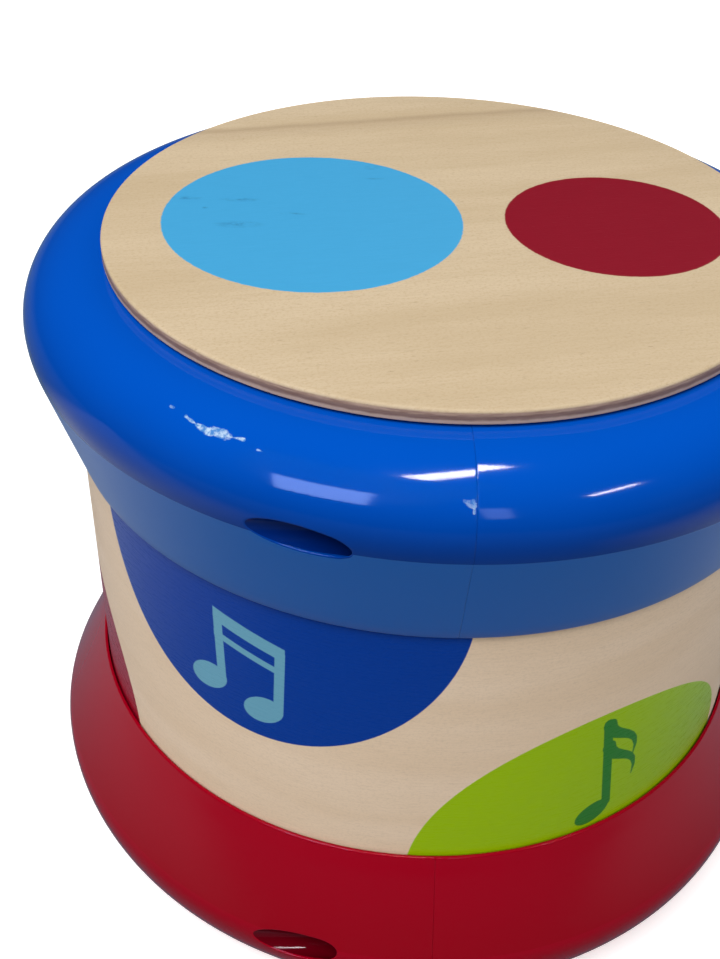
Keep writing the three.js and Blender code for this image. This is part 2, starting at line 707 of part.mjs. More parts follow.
// Head: plywood disc on a moulded carrier with guide posts
function makeHead() {
  const arris = new THREE.EllipseCurve(
    HEAD_RADIUS - HEAD_ARRIS,
    OVERALL_HEIGHT - HEAD_ARRIS,
    HEAD_ARRIS,
    HEAD_ARRIS,
    0,
    Math.PI / 2,
  );
  const outline = [
    [0, headBottom],
    [HEAD_RADIUS, headBottom],
    ...arris.getPoints(TURN_FACETS).map((point) => [point.x, point.y]),
    [0, OVERALL_HEIGHT],
  ];
  addPiece("drum_head", turned(outline, WIDE_SIDES), "birch");

  const carrierTop = headBottom - SEAT;
  const skirtInner = carrierRadius - DECK_WALL;
  const dish = [
    [0, carrierBottom],
    [skirtInner, carrierBottom],
    [skirtInner, carrierBottom - CARRIER_SKIRT],
    [carrierRadius, carrierBottom - CARRIER_SKIRT],
    [carrierRadius, carrierTop],
    [0, carrierTop],
  ];
  const inCarrier = carrierBottom + SEAT;
  const postEnd = deckFloorBottom - RISE_GAP + SEAT;
  let carrier = solid(turned(dish, WIDE_SIDES));
  postSpots.forEach(([x, y], i) => {
    const pilot = rod(CARRIER_SCREW.shank + FIT, postEnd - PAST, postEnd + CARRIER_SCREW.length + FIT, x, y);
    carrier = cut(join(carrier, rod(POST_RADIUS, postEnd, inCarrier, x, y, MID_SIDES)), pilot);
    const fastener = addPiece(`carrier_screw_${i + 1}`, screw(CARRIER_SCREW), "steel");
    fastener.position.set(x, y, postEnd - SEAT);
  });
  for (const x of [PAD_LEFT_X, PAD_RIGHT_X]) {
    carrier = join(carrier, rod(PAD_BOSS_RADIUS, plungerTop + STRIKE_GAP, inCarrier, x, 0));
  }
  addPiece("head_carrier", geometryOf(carrier), "grey");
}

// A coil spring: one tube wound on a helix, with flat ends.
function coil(bottom, top) {
  const steps = SPRING_TURNS * SPRING_TURN_STEPS;
  const climb = (top - bottom - 2 * SPRING_WIRE) / steps;
  const centres = [];
  const positions = [];
  const faces = [];
  for (let i = 0; i <= steps; i += 1) {
    const angle = (i * 2 * Math.PI) / SPRING_TURN_STEPS;
    const out = new THREE.Vector3(Math.cos(angle), Math.sin(angle), 0);
    const centre = out.clone().multiplyScalar(SPRING_RADIUS);
    centre.z = bottom + SPRING_WIRE + i * climb;
    centres.push(centre);
    for (let side = 0; side < SPRING_SIDES; side += 1) {
      const round = (side * 2 * Math.PI) / SPRING_SIDES;
      const point = centre.clone().addScaledVector(out, SPRING_WIRE * Math.cos(round));
      point.z += SPRING_WIRE * Math.sin(round);
      positions.push(point.x, point.y, point.z);
    }
  }
  for (let i = 0; i < steps; i += 1) {
    for (let side = 0; side < SPRING_SIDES; side += 1) {
      const next = (side + 1) % SPRING_SIDES;
      const a = i * SPRING_SIDES + side;
      const b = i * SPRING_SIDES + next;
      faces.push(a, a + SPRING_SIDES, b, b, a + SPRING_SIDES, b + SPRING_SIDES);
    }
  }
  const lastRing = steps * SPRING_SIDES;
  for (let side = 1; side < SPRING_SIDES - 1; side += 1) {
    faces.push(0, side, side + 1, lastRing, lastRing + side + 1, lastRing + side);
  }
  let least = Infinity;
  centres.forEach((centre, i) => {
    for (const other of centres.slice(i + SPRING_TURN_STEPS / 2)) {
      least = Math.min(least, centre.distanceTo(other) - 2 * SPRING_WIRE);
    }
  });
  console.log(`least gap between a spring's turns: ${least.toFixed(2)} mm`);
  const geometry = new THREE.BufferGeometry();
  geometry.setAttribute("position", new THREE.Float32BufferAttribute(positions, 3));
  geometry.setIndex(faces);
  geometry.computeVertexNormals();
  return geometry;
}

function makeSprings() {
  const geometry = coil(deckFloorTop + FIT, carrierBottom - FIT);
  postSpots.forEach(([x, y], i) => {
    addPiece(`head_spring_${i + 1}`, geometry, "steel").position.set(x, y, 0);
  });
}

// Pad board: one tap switch under the middle of each pad
function makePadBoard() {
  const halfWidth = PAD_BOARD_WIDTH / 2;
  const top = padBoardBottom + BOARD_THICKNESS;
  let board = box(
    [PAD_LEFT_X - PAD_BOARD_END, -halfWidth, padBoardBottom],
    [PAD_RIGHT_X + PAD_BOARD_END, halfWidth, top],
  );
  PAD_BOARD_SCREW_X.forEach((x, i) => {
    board = cut(board, rod(SMALL_SCREW.shank + FIT, padBoardBottom - PAST, top + PAST, x, 0));
    const fastener = addPiece(`pad_board_screw_${i + 1}`, screw(SMALL_SCREW), "steel");
    fastener.rotation.x = Math.PI;
    fastener.position.set(x, 0, top + SEAT);
  });
  addPiece("pad_board", geometryOf(board), "board");

  const halfSize = PAD_SWITCH_SIZE / 2;
  const well = padSwitchTop - PLUNGER_ROOT - HEAD_TRAVEL - FIT;
  const places = [
    ["left", PAD_LEFT_X],
    ["right", PAD_RIGHT_X],
  ];
  for (const [side, x] of places) {
    const body = cut(
      box([x - halfSize, -halfSize, padSwitchBottom], [x + halfSize, halfSize, padSwitchTop]),
      rod(PLUNGER_RADIUS + FIT, well, padSwitchTop + PAST, x, 0),
    );
    addPiece(`pad_switch_${side}`, geometryOf(body), "black");
    const plunger = rod(PLUNGER_RADIUS, padSwitchTop - PLUNGER_ROOT, plungerTop, x, 0);
    addPiece(`pad_plunger_${side}`, geometryOf(plunger), "grey");
  }
}

// Main board with its sound chip and the mode switch that hangs under it
function makeMainBoard() {
  const halfLength = BOARD_LENGTH / 2;
  const halfWidth = BOARD_WIDTH / 2;
  let board = box(
    [-halfLength, BOARD_Y - halfWidth, boardBottom],
    [halfLength, BOARD_Y + halfWidth, boardTop],
  );
  boardScrewSpots.forEach(([x, y], i) => {
    board = cut(board, rod(SMALL_SCREW.shank + FIT, boardBottom - PAST, boardTop + PAST, x, y));
    const fastener = addPiece(`main_board_screw_${i + 1}`, screw(SMALL_SCREW), "steel");
    fastener.rotation.x = Math.PI;
    fastener.position.set(x, y, boardTop + SEAT);
  });
  addPiece("main_board", geometryOf(board), "board");

  const dome = new THREE.EllipseCurve(0, boardTop + SEAT, CHIP_RADIUS, CHIP_HEIGHT, 0, Math.PI / 2);
  const chip = [[0, boardTop + SEAT], ...dome.getPoints(TURN_FACETS + 1).map((point) => [point.x, point.y])];
  addPiece("sound_chip", turned(chip, MID_SIDES), "black").position.set(0, SWITCH_Y, 0);

  const switchTop = boardBottom - SEAT;
  const switchBottom = switchTop - SWITCH_HEIGHT;
  const leverRun = LEVER_SIZE / 2 + SWITCH_TRAVEL + FIT;
  const leverHalf = LEVER_SIZE / 2;
  const body = cut(
    box(
      [-SWITCH_LENGTH / 2, SWITCH_Y - SWITCH_WIDTH / 2, switchBottom],
      [SWITCH_LENGTH / 2, SWITCH_Y + SWITCH_WIDTH / 2, switchTop],
    ),
    box(
      [-leverRun, SWITCH_Y - leverHalf - FIT, switchBottom - PAST],
      [leverRun, SWITCH_Y + leverHalf + FIT, switchBottom + LEVER_ROOT + FIT],
    ),
  );
  addPiece("mode_switch_body", geometryOf(body), "steel");

  const leverBottom = plateTop;
  const lever = box(
    [-leverHalf, SWITCH_Y - leverHalf, leverBottom],
    [leverHalf, SWITCH_Y + leverHalf, switchBottom + LEVER_ROOT],
  );
  addPiece("mode_switch_lever", geometryOf(lever), "black");

  const flangeBottom = plateTop + FIT;
  const flangeHalf = KNOB_LENGTH / 2 + 2 * SWITCH_TRAVEL + FIT + KNOB_FLANGE_LAP;
  const flangeWidth = KNOB_WIDTH / 2 + KNOB_FLANGE_LAP;
  const knobBottom = plateBottom - KNOB_DROP;
  const grooves = [-1, 0, 1].map((place) => {
    const x = (place * KNOB_LENGTH) / 4;
    return box(
      [x - KNOB_GROOVE / 2, SWITCH_Y - KNOB_WIDTH, knobBottom - PAST],
      [x + KNOB_GROOVE / 2, SWITCH_Y + KNOB_WIDTH, knobBottom + KNOB_GROOVE],
    );
  });
  const knob = cut(
    join(
      box(
        [-KNOB_LENGTH / 2, SWITCH_Y - KNOB_WIDTH / 2, knobBottom],
        [KNOB_LENGTH / 2, SWITCH_Y + KNOB_WIDTH / 2, flangeBottom + KNOB_FLANGE],
      ),
      box(
        [-flangeHalf, SWITCH_Y - flangeWidth, flangeBottom],
        [flangeHalf, SWITCH_Y + flangeWidth, flangeBottom + KNOB_FLANGE],
      ),
    ),
    box(
      [-leverHalf - FIT, SWITCH_Y - leverHalf - FIT, leverBottom - FIT],
      [leverHalf + FIT, SWITCH_Y + leverHalf + FIT, flangeBottom + KNOB_FLANGE + PAST],
    ),
    ...grooves,
  );
  addPiece("mode_switch_knob", geometryOf(knob), "black");
}

// Speaker, face down on the grille
function makeSpeaker() {
  const group = new THREE.Group();
  group.position.set(SPEAKER_X, SPEAKER_Y, plateTop + SEAT);
  drum.add(group);

  const mouth = SPEAKER_RADIUS - SPEAKER_EDGE;
  const basket = [
    [mouth, 0],
    [SPEAKER_RADIUS, 0],
    [SPEAKER_RADIUS, SPEAKER_EDGE_THICKNESS],
    [mouth + SPEAKER_SHEET, SPEAKER_EDGE_THICKNESS],
    [SPEAKER_BACK_RADIUS, SPEAKER_DEPTH],
    [0, SPEAKER_DEPTH],
    [0, SPEAKER_DEPTH - SPEAKER_SHEET],
    [SPEAKER_BACK_RADIUS - SPEAKER_SHEET, SPEAKER_DEPTH - SPEAKER_SHEET],
    [mouth, SPEAKER_EDGE_THICKNESS],
  ];
  const terminalTop = SPEAKER_DEPTH - TERMINAL_DROP;
  const terminal = box(
    [-TERMINAL_SIZE / 2, -mouth - SPEAKER_SHEET - SPEAKER_SHEET, terminalTop - SPEAKER_SHEET],
    [TERMINAL_SIZE / 2, -mouth + TERMINAL_SIZE / 2, terminalTop],
  );
  const inner = [
    [0, 0],
    [mouth, 0],
    [mouth, SPEAKER_EDGE_THICKNESS],
    [SPEAKER_BACK_RADIUS - SPEAKER_SHEET, SPEAKER_DEPTH - SPEAKER_SHEET],
    [0, SPEAKER_DEPTH - SPEAKER_SHEET],
  ];
  const frame = join(solid(turned(basket, MID_SIDES)), cut(terminal, solid(turned(inner, MID_SIDES))));
  addPiece("speaker_basket", geometryOf(frame), "steel", group);

  const magnet = [
    [0, SPEAKER_DEPTH + SEAT],
    [MAGNET_RADIUS, SPEAKER_DEPTH + SEAT],
    [MAGNET_RADIUS, SPEAKER_DEPTH + MAGNET_HEIGHT],
    [0, SPEAKER_DEPTH + MAGNET_HEIGHT],
  ];
  addPiece("speaker_magnet", turned(magnet, MID_SIDES), "ferrite", group);

  const rim = mouth - CONE_GAP;
  const front = CONE_TRAVEL + FIT;
  const neck = front + CONE_RISE;
  const cap = new THREE.EllipseCurve(0, neck, CONE_NECK_RADIUS, CONE_NECK_RADIUS / 3, 0, -Math.PI / 2, true);
  const capFace = cap.getPoints(TURN_FACETS + 1).map((point) => [point.x, point.y]);
  const cone = [
    [rim, front],
    [rim - SPEAKER_EDGE / 2, front],
    ...capFace,
    ...capFace.map(([radius, height]) => [radius, height + CONE_SHEET]).reverse(),
    [rim - SPEAKER_EDGE / 2, front + CONE_SHEET],
    [rim, front + CONE_SHEET],
  ];
  addPiece("speaker_cone", turned(cone, MID_SIDES), "black", group);

  speakerScrewSpots.forEach(([x, y], i) => {
    const fastener = addPiece(`speaker_screw_${i + 1}`, screw(SPEAKER_SCREW), "steel");
    fastener.rotation.x = Math.PI;
    fastener.position.set(x, y, speakerScrewSeat);
  });
}

// Cells lie head to tail, joined by sprung contacts at both ends of the well
function makeBattery() {
  const nubRoom = CONTACT_THICKNESS + CONTACT_BUMP + 2 * FIT;
  const outline = [
    [0, 0],
    [CELL_RADIUS, 0],
    [CELL_RADIUS, CELL_LENGTH - CELL_NUB],
    [CELL_NUB_RADIUS, CELL_LENGTH - CELL_NUB],
    [CELL_NUB_RADIUS, CELL_LENGTH],
    [0, CELL_LENGTH],
  ];
  for (let i = 0; i < CELL_COUNT; i += 1) {
    const out = i % 2 ? -1 : 1;
    const nubEnd = out > 0 ? wellBack - nubRoom : wellFront + nubRoom;
    const cell = addPiece(`battery_cell_${i + 1}`, turned(outline, MID_SIDES), "cell");
    cell.rotation.x = (-out * Math.PI) / 2;
    cell.position.set(cellX(i), nubEnd - out * CELL_LENGTH, cellAxis);
  }

  const contacts = [
    { name: "battery_contact_positive", end: 1, cells: [0] },
    { name: "battery_contact_negative", end: CELL_COUNT % 2 ? -1 : 1, cells: [CELL_COUNT - 1] },
  ];
  for (let i = 0; i < CELL_COUNT - 1; i += 1) {
    contacts.push({ name: `battery_bridge_${i + 1}`, end: i % 2 ? 1 : -1, cells: [i, i + 1] });
  }
  for (const { name, end, cells } of contacts) {
    addPiece(name, geometryOf(makeContact(end, cells)), "steel");
  }
}

// A contact plate at one end of the well (end 1 is the back), with a bump for each cell's nub and
// a conical spring, drawn closed, for each flat end.
function makeContact(end, cells) {
  const wallY = end > 0 ? wellBack : wellFront;
  const plateY = [wallY - end * FIT, wallY - end * (FIT + CONTACT_THICKNESS)].sort((a, b) => a - b);
  const halfSize = CONTACT_SIZE / 2;
  let plate = box(
    [cellX(cells[0]) - halfSize, plateY[0], cellAxis - halfSize],
    [cellX(cells.at(-1)) + halfSize, plateY[1], cellAxis + halfSize],
  );
  for (const cell of cells) {
    const nubHere = (cell % 2 ? -1 : 1) === end;
    const depth = (nubHere ? CONTACT_BUMP : CONTACT_SPRING) + CONTACT_THICKNESS / 2;
    const tip = CELL_NUB_RADIUS;
    const root = nubHere ? CELL_NUB_RADIUS : CONTACT_SIZE / 2 - FIT;
    const stud = new THREE.CylinderGeometry(tip, root, depth, SMALL_SIDES);
    stud.translate(0, depth / 2, 0);
    if (end > 0) stud.rotateZ(Math.PI);
    stud.translate(cellX(cell), wallY - end * (FIT + CONTACT_THICKNESS / 2), cellAxis);
    plate = join(plate, solid(stud));
  }
  const tab = tabSpots().find(({ x, out }) => cells.length === 1 && x === cellX(cells[0]) && out === end);
  if (tab) {
    const reach = [wallY - end * (FIT + CONTACT_THICKNESS), wallY + end * (WELL_WALL + TAB_REACH)];
    const [low, high] = reach.sort((a, b) => a - b);
    const tabBottom = cellAxis + TAB_HEIGHT;
    const tabTop = tabBottom + CONTACT_THICKNESS;
    plate = join(plate, box([tab.x - TAB_WIDTH / 2, low, tabBottom], [tab.x + TAB_WIDTH / 2, high, tabTop]));
  }
  return plate;
}

// Battery door: swings down on two tongues and is held by a captive screw
function makeBatteryDoor() {
  const doorTop = plateBottom + DOOR_THICKNESS;
  const half = doorWidth / 2;
  const rootBack = doorBack - DOOR_GAP;
  const rootFront = rootBack - TONGUE_ROOT;
  const tongueBottom = plateTop + FIT;
  const tongues = tongueCentres().flatMap((x) => [
    box(
      [x - TONGUE_WIDTH / 2, rootFront, doorTop - SEAT],
      [x + TONGUE_WIDTH / 2, rootBack, tongueTop],
    ),
    box(
      [x - TONGUE_WIDTH / 2, rootFront, tongueBottom],
      [x + TONGUE_WIDTH / 2, doorBack + TONGUE_REACH, tongueTop],
    ),
  ]);
  const head = DOOR_SCREW.head + FIT;
  const shank = DOOR_SCREW.shank + FIT;
  const sinkDepth = DOOR_SCREW.head - DOOR_SCREW.shank;
  const sink = [
    [0, plateBottom - PAST],
    [head, plateBottom - PAST],
    [head, plateBottom],
    [shank, plateBottom + sinkDepth],
    [shank, doorTop + PAST],
    [0, doorTop + PAST],
  ];
  const door = cut(
    join(box([WELL_X - half, doorFront, plateBottom], [WELL_X + half, doorBack, doorTop]), ...tongues),
    solid(turned(sink, MID_SIDES).translate(WELL_X, doorScrewY, 0)),
  );
  addPiece("battery_door", geometryOf(door), "red");

  const outline = [
    [0, SEAT],
    [DOOR_SCREW.head, SEAT],
    [DOOR_SCREW.shank, SEAT + sinkDepth],
    [DOOR_SCREW.shank, doorScrewTip - DOOR_SCREW.shank],
    [0, doorScrewTip],
  ];
  const fastener = addPiece("battery_door_screw", turned(outline, MID_SIDES), "steel");
  fastener.position.set(WELL_X, doorScrewY, plateBottom);
}

// A lead from one place to a spot on the main board, straight at both ends.
function addLead(name, start, startRise, way, [landingX, landingY]) {
  const landing = boardTop + FIT;
  const [x, y, z] = start;
  const points = [
    start,
    [x, y, z + startRise],
    ...way,
    [landingX, landingY, landing + LEAD_RISE],
    [landingX, landingY, landing],
  ];
  const curve = new THREE.CatmullRomCurve3(points.map((point) => new THREE.Vector3(...point)));
  const ring = spots(LEAD_SIDES, LEAD_RADIUS, 0).map(([across, up]) => new THREE.Vector2(across, up));
  const settings = { extrudePath: curve, steps: LEAD_STEPS, bevelEnabled: false };
  const geometry = new THREE.ExtrudeGeometry(new THREE.Shape(ring), settings);
  addPiece(name, geometryOf(solid(geometry)), "wire");
}

function makeLeads() {
  const [positive, negative] = tabSpots();
  const tabTop = cellAxis + TAB_HEIGHT + CONTACT_THICKNESS + FIT;
  const tabMiddle = WELL_WALL + TAB_REACH / 2;
  const terminalY = SPEAKER_Y - SPEAKER_RADIUS + SPEAKER_EDGE / 2;
  const terminalTop = plateTop + SEAT + SPEAKER_DEPTH - TERMINAL_DROP + FIT;
  const crossing = wellTop + WELL_WALL + LEAD_CROSSING;
  const padDrop = padBoardBottom - deckFloorBottom + LEAD_RISE;
  addLead(
    "pad_lead",
    [PAD_LEAD_X, 0, padBoardBottom - FIT],
    -padDrop,
    [[PAD_LEAD_X, PAD_LEAD_LANDING[1] / 2, (deckFloorBottom + boardTop) / 2]],
    PAD_LEAD_LANDING,
  );
  addLead(
    "speaker_lead",
    [SPEAKER_X, terminalY, terminalTop],
    LEAD_RISE,
    [[(SPEAKER_X + SPEAKER_LEAD_LANDING[0]) / 2, (terminalY + SPEAKER_LEAD_LANDING[1]) / 2, crossing]],
    SPEAKER_LEAD_LANDING,
  );
  addLead(
    "battery_lead_positive",
    [positive.x, positive.wallY + positive.out * tabMiddle, tabTop],
    crossing - tabTop,
    [[positive.x / 2, WELL_Y, crossing + LEAD_RISE]],
    POSITIVE_LEAD_LANDING,
  );
  addLead(
    "battery_lead_negative",
    [negative.x, negative.wallY + negative.out * tabMiddle, tabTop],
    LEAD_RISE,
    [[
      (negative.x + NEGATIVE_LEAD_LANDING[0]) / 2,
      (negative.wallY + NEGATIVE_LEAD_LANDING[1]) / 2,
      crossing,
    ]],
    NEGATIVE_LEAD_LANDING,
  );
}

makeShell();
makeRing("rim", RIM, rimCrest, "blue");
makeRing("base", BASE, 0, "red");
makeTopDeck();
makeBasePlate();
makeTieScrews();
makeHead();
makeSprings();
makePadBoard();
makeMainBoard();
makeSpeaker();
makeBattery();
makeBatteryDoor();
makeLeads();

export default drum;
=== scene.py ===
# %% [markdown]
# # A baby drum, dressed for its photograph
#
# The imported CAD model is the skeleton: its pieces, joints and sizes stay as they are. This lesson puts the looks
# on it. The skeleton is loaded first, so that every later step can measure from it.

# %% Load the frame
import json
import math
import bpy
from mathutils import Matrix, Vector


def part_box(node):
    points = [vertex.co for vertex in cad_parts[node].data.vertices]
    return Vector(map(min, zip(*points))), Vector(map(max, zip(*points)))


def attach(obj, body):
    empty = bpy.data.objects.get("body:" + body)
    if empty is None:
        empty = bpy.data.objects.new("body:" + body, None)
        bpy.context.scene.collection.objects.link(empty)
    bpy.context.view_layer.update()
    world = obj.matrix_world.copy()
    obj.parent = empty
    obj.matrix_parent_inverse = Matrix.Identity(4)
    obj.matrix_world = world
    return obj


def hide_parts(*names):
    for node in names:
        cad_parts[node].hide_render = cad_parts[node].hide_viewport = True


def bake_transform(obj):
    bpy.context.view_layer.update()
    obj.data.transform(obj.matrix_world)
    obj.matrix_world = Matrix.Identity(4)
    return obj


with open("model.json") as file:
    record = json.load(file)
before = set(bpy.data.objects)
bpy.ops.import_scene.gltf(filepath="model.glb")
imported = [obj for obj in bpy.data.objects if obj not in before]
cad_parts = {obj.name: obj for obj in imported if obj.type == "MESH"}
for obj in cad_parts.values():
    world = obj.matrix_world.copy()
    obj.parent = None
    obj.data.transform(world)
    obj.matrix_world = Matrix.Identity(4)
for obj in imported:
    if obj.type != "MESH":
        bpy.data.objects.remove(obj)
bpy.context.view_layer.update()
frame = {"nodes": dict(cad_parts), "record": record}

from types import SimpleNamespace

import bmesh
import bpy
from mathutils import Matrix, Vector

MM = 0.001


def linked(name, data):
    """A new object in the scene, made of this data."""
    thing = bpy.data.objects.new(name, data)
    bpy.context.collection.objects.link(thing)
    return thing


# %% [markdown]
# ## Camera
#
# The photograph was taken from close by and above, a little left of the drum's seam. A camera is a place and three
# angles: how far it is turned from the drum's front, how far it looks down, and how far it leans. The lens belongs to
# Blender's usual 36 mm sensor.

# %% Camera
CAMERA_PLACE = Vector((-22.917, -218.04, 240.278)) * MM
CAMERA_YAW, CAMERA_PITCH, CAMERA_ROLL = 0.0407, 0.655, 0.035
CAMERA_LENS = 47.062


def camera_matrix(place, yaw, pitch, roll):
    ahead = Vector((math.sin(yaw) * math.cos(pitch), math.cos(yaw) * math.cos(pitch), -math.sin(pitch)))
    level = Vector((math.cos(yaw), -math.sin(yaw), 0))
    rise = level.cross(ahead)
    right = level * math.cos(roll) + rise * math.sin(roll)
    up = rise * math.cos(roll) - level * math.sin(roll)
    turn = Matrix((right, up, -ahead)).transposed().to_4x4()
    return Matrix.Translation(place) @ turn


camera = linked("camera", bpy.data.cameras.new("camera"))
camera.data.lens = CAMERA_LENS
camera.data.clip_start = 0.01
camera.matrix_world = camera_matrix(CAMERA_PLACE, CAMERA_YAW, CAMERA_PITCH, CAMERA_ROLL)
bpy.context.scene.camera = camera
bpy.context.scene.view_settings.view_transform = "Standard"
print("camera", round(camera.location.length / MM), "mm from the drum's foot")

# %% [markdown]
# ## Shader sums
#
# A finish such as wood or print is a sum: noise plus a ring minus a mask. Wiring such sums by hand is slow, so one
# small class lets Python's own signs add the Math nodes. Its `node` method makes every other node, from the node's
# type, its settings and what goes into its sockets.


# %% Shader sums
class Thread:
    """One value on its way through a node tree."""

    def __init__(self, tree, socket=None):
        self.tree, self.socket = tree, socket

    def node(self, kind, settings=None, inputs=None, out=0):
        made = self.tree.nodes.new(kind)
        for name, value in (settings or {}).items():
            setattr(made, name, value)
        for key, value in (inputs or {}).items():
            for thread in value if isinstance(value, list) else [value]:
                if isinstance(thread, Thread):
                    self.tree.links.new(thread.socket, made.inputs[key])
                else:
                    made.inputs[key].default_value = thread
        return Thread(self.tree, made.outputs[out] if made.outputs else None)

    def math(self, operation, *others, clamp=False):
        values = dict(enumerate((self, *others)))
        return self.node("ShaderNodeMath", {"operation": operation, "use_clamp": clamp}, values)

    def __add__(self, other):
        return self.math("ADD", other)

    def __sub__(self, other):
        return self.math("SUBTRACT", other)

    def __mul__(self, other):
        return self.math("MULTIPLY", other)

    def __truediv__(self, other):
        return self.math("DIVIDE", other)

    def __rsub__(self, other):
        return self.node("ShaderNodeMath", {"operation": "SUBTRACT"}, {0: other, 1: self})

    def most(self, other):
        return self.math("MAXIMUM", other)

    def inside(self, blur):
        """1 where a distance is below zero, 0 where it is above, with an edge as wide as blur."""
        return self.math("MULTIPLY_ADD", -1 / blur, 0.5, clamp=True)

    def band(self, low, high):
        """0 below low, 1 above high."""
        settings = {"interpolation_type": "SMOOTHSTEP"}
        return self.node("ShaderNodeMapRange", settings, {"Value": self, "From Min": low, "From Max": high})

    def mix(self, first, second):
        """The first colour where this value is 0, the second where it is 1."""
        return self.node("ShaderNodeMix", {"data_type": "RGBA"}, {0: self, 6: first, 7: second}, out=2)

    def noise(self, scale, detail=2.0, roughness=0.5, stretch=(1, 1, 1), shift=(0, 0, 0)):
        place = self.node("ShaderNodeMapping", {}, {"Vector": self, "Scale": stretch, "Location": shift})
        inputs = {"Vector": place, "Scale": scale, "Detail": detail, "Roughness": roughness}
        return self.node("ShaderNodeTexNoise", {}, inputs)

    def ray(self, kind):
        """1 where the light path is of this kind."""
        return self.node("ShaderNodeLightPath", out=f"Is {kind} Ray")

    def vector(self, operation, inputs, out="Vector"):
        return self.node("ShaderNodeVectorMath", {"operation": operation}, inputs, out)

    def axes(self):
        return [self.node("ShaderNodeSeparateXYZ", {}, {0: self}, out=axis) for axis in "XYZ"]


def span(x, y):
    """How far a place is from zero, by two axes."""
    return (x * x + y * y).math("SQRT")


print("shader sums ready")

# %% [markdown]
# ## Colours and finishes
#
# Colours are written as a screen shows them, and turned into Blender's linear light. Every finish begins alike, with
# the place on the drum in millimetres, and ends alike, in one Principled shader with a bump for its fine relief.


# %% Colours and finishes
def colour(red, green, blue):
    """A screen colour, 0 to 255, as Blender's linear one."""
    shares = [value / 255 for value in (red, green, blue)]
    return (*[s / 12.92 if s <= 0.04045 else ((s + 0.055) / 1.055) ** 2.4 for s in shares], 1.0)


def darker(shade, share):
    return tuple(value * share for value in shade[:3]) + (1,)


def new_finish(name):
    finish = bpy.data.materials.new(name)
    finish.use_nodes = True
    finish.node_tree.nodes.clear()
    start = Thread(finish.node_tree)
    raw = start.node("ShaderNodeTexCoord", out="Object")
    place = raw.node("ShaderNodeMapping", {}, {"Vector": raw, "Scale": (1000, 1000, 1000)})
    return finish, place


def close_finish(place, height=None, depth=0.05, strength=0.3, **inputs):
    """Ends a finish in one Principled shader. Height, in millimetres, feeds a Bump node."""
    sockets = {name.replace("_", " "): value for name, value in inputs.items()}
    if height is not None:
        lift = {"Height": height, "Distance": depth * MM, "Strength": strength}
        sockets["Normal"] = place.node("ShaderNodeBump", {}, lift)
    shader = place.node("ShaderNodeBsdfPrincipled", {}, sockets)
    place.node("ShaderNodeOutputMaterial", {}, {"Surface": shader})


print("blue in linear light:", [round(value, 3) for value in colour(0, 72, 185)])

# %% [markdown]
# ## Floor
#
# A white floor would throw its light up under the rim and into the gloss, so its finish asks which kind of ray has
# come. The camera sees it white, soft light sees it dark, and gloss sees it cool and dim, with a brighter patch on
# each side of the drum. From below it is clear, to show the underside.

# %% Floor
FLOOR_REACH = 4.0
FLOOR_DROP = 0.05 * MM
FLOOR_SEEN, FLOOR_SOFT, FLOOR_GLOSS = (0.86, 0.86, 0.86, 1), (0.2, 0.2, 0.2, 1), (0.15, 0.22, 0.29, 1)


def direct_rays(thread):
    """1 for what the camera sees, straight or through something clear."""
    return thread.ray("Camera").most(thread.ray("Transmission"))


def floor_finish():
    finish, place = new_finish("pale_floor")
    seen, mirrored, shaded = direct_rays(place), place.ray("Glossy"), place.ray("Shadow")
    below = place.node("ShaderNodeNewGeometry", out="Backfacing")
    x, y, _ = place.axes()
    pale = mirrored.mix(seen.mix(FLOOR_SOFT, FLOOR_SEEN), FLOOR_GLOSS)
    matt = place.node("ShaderNodeBsdfDiffuse", {}, {"Color": pale})
    far = span(x, y).band(150, 700)
    aside = x.math("ABSOLUTE").band(75, 180) * y.band(-230, -110) * (1 - y.band(40, 120))
    level = seen * (far * 0.3 + 0.5) + mirrored * aside * 0.5
    tint = mirrored.mix((1, 1, 1, 1), (0.94, 0.9, 1, 1))
    glow = place.node("ShaderNodeEmission", {}, {"Color": tint, "Strength": level})
    lit = place.node("ShaderNodeAddShader", {}, {0: matt, 1: glow})
    clear = place.node("ShaderNodeBsdfTransparent")
    whole = place.node("ShaderNodeMixShader", {}, {0: shaded.most(below), 1: lit, 2: clear})
    place.node("ShaderNodeOutputMaterial", {}, {"Surface": whole})
    return finish


floor = linked("floor", bpy.data.meshes.new("floor"))
corners = [(-1, -1), (1, -1), (1, 1), (-1, 1)]
floor.data.from_pydata([(x * FLOOR_REACH, y * FLOOR_REACH, -FLOOR_DROP) for x, y in corners], [], [(0, 1, 2, 3)])
floor.data.materials.append(floor_finish())
print("floor:", 2 * FLOOR_REACH, "m wide")

# %% [markdown]
# ## Lamps and room
#
# The room had a ceiling lamp straight above, a window to the front left and two smaller lights to the front right:
# each one is a bright patch on the rim. So four area lamps in those directions are seen by gloss alone. A broad soft
# lamp, which gloss doesn't see, lights the drum, with weaker ones low on three sides and one under the clear floor.

# %% Lamps and room
LIT_SPOT = Vector((0, -70, 128)) * MM
ROOM_LIGHT, ROOM_GLOSS = 0.3, 0.02


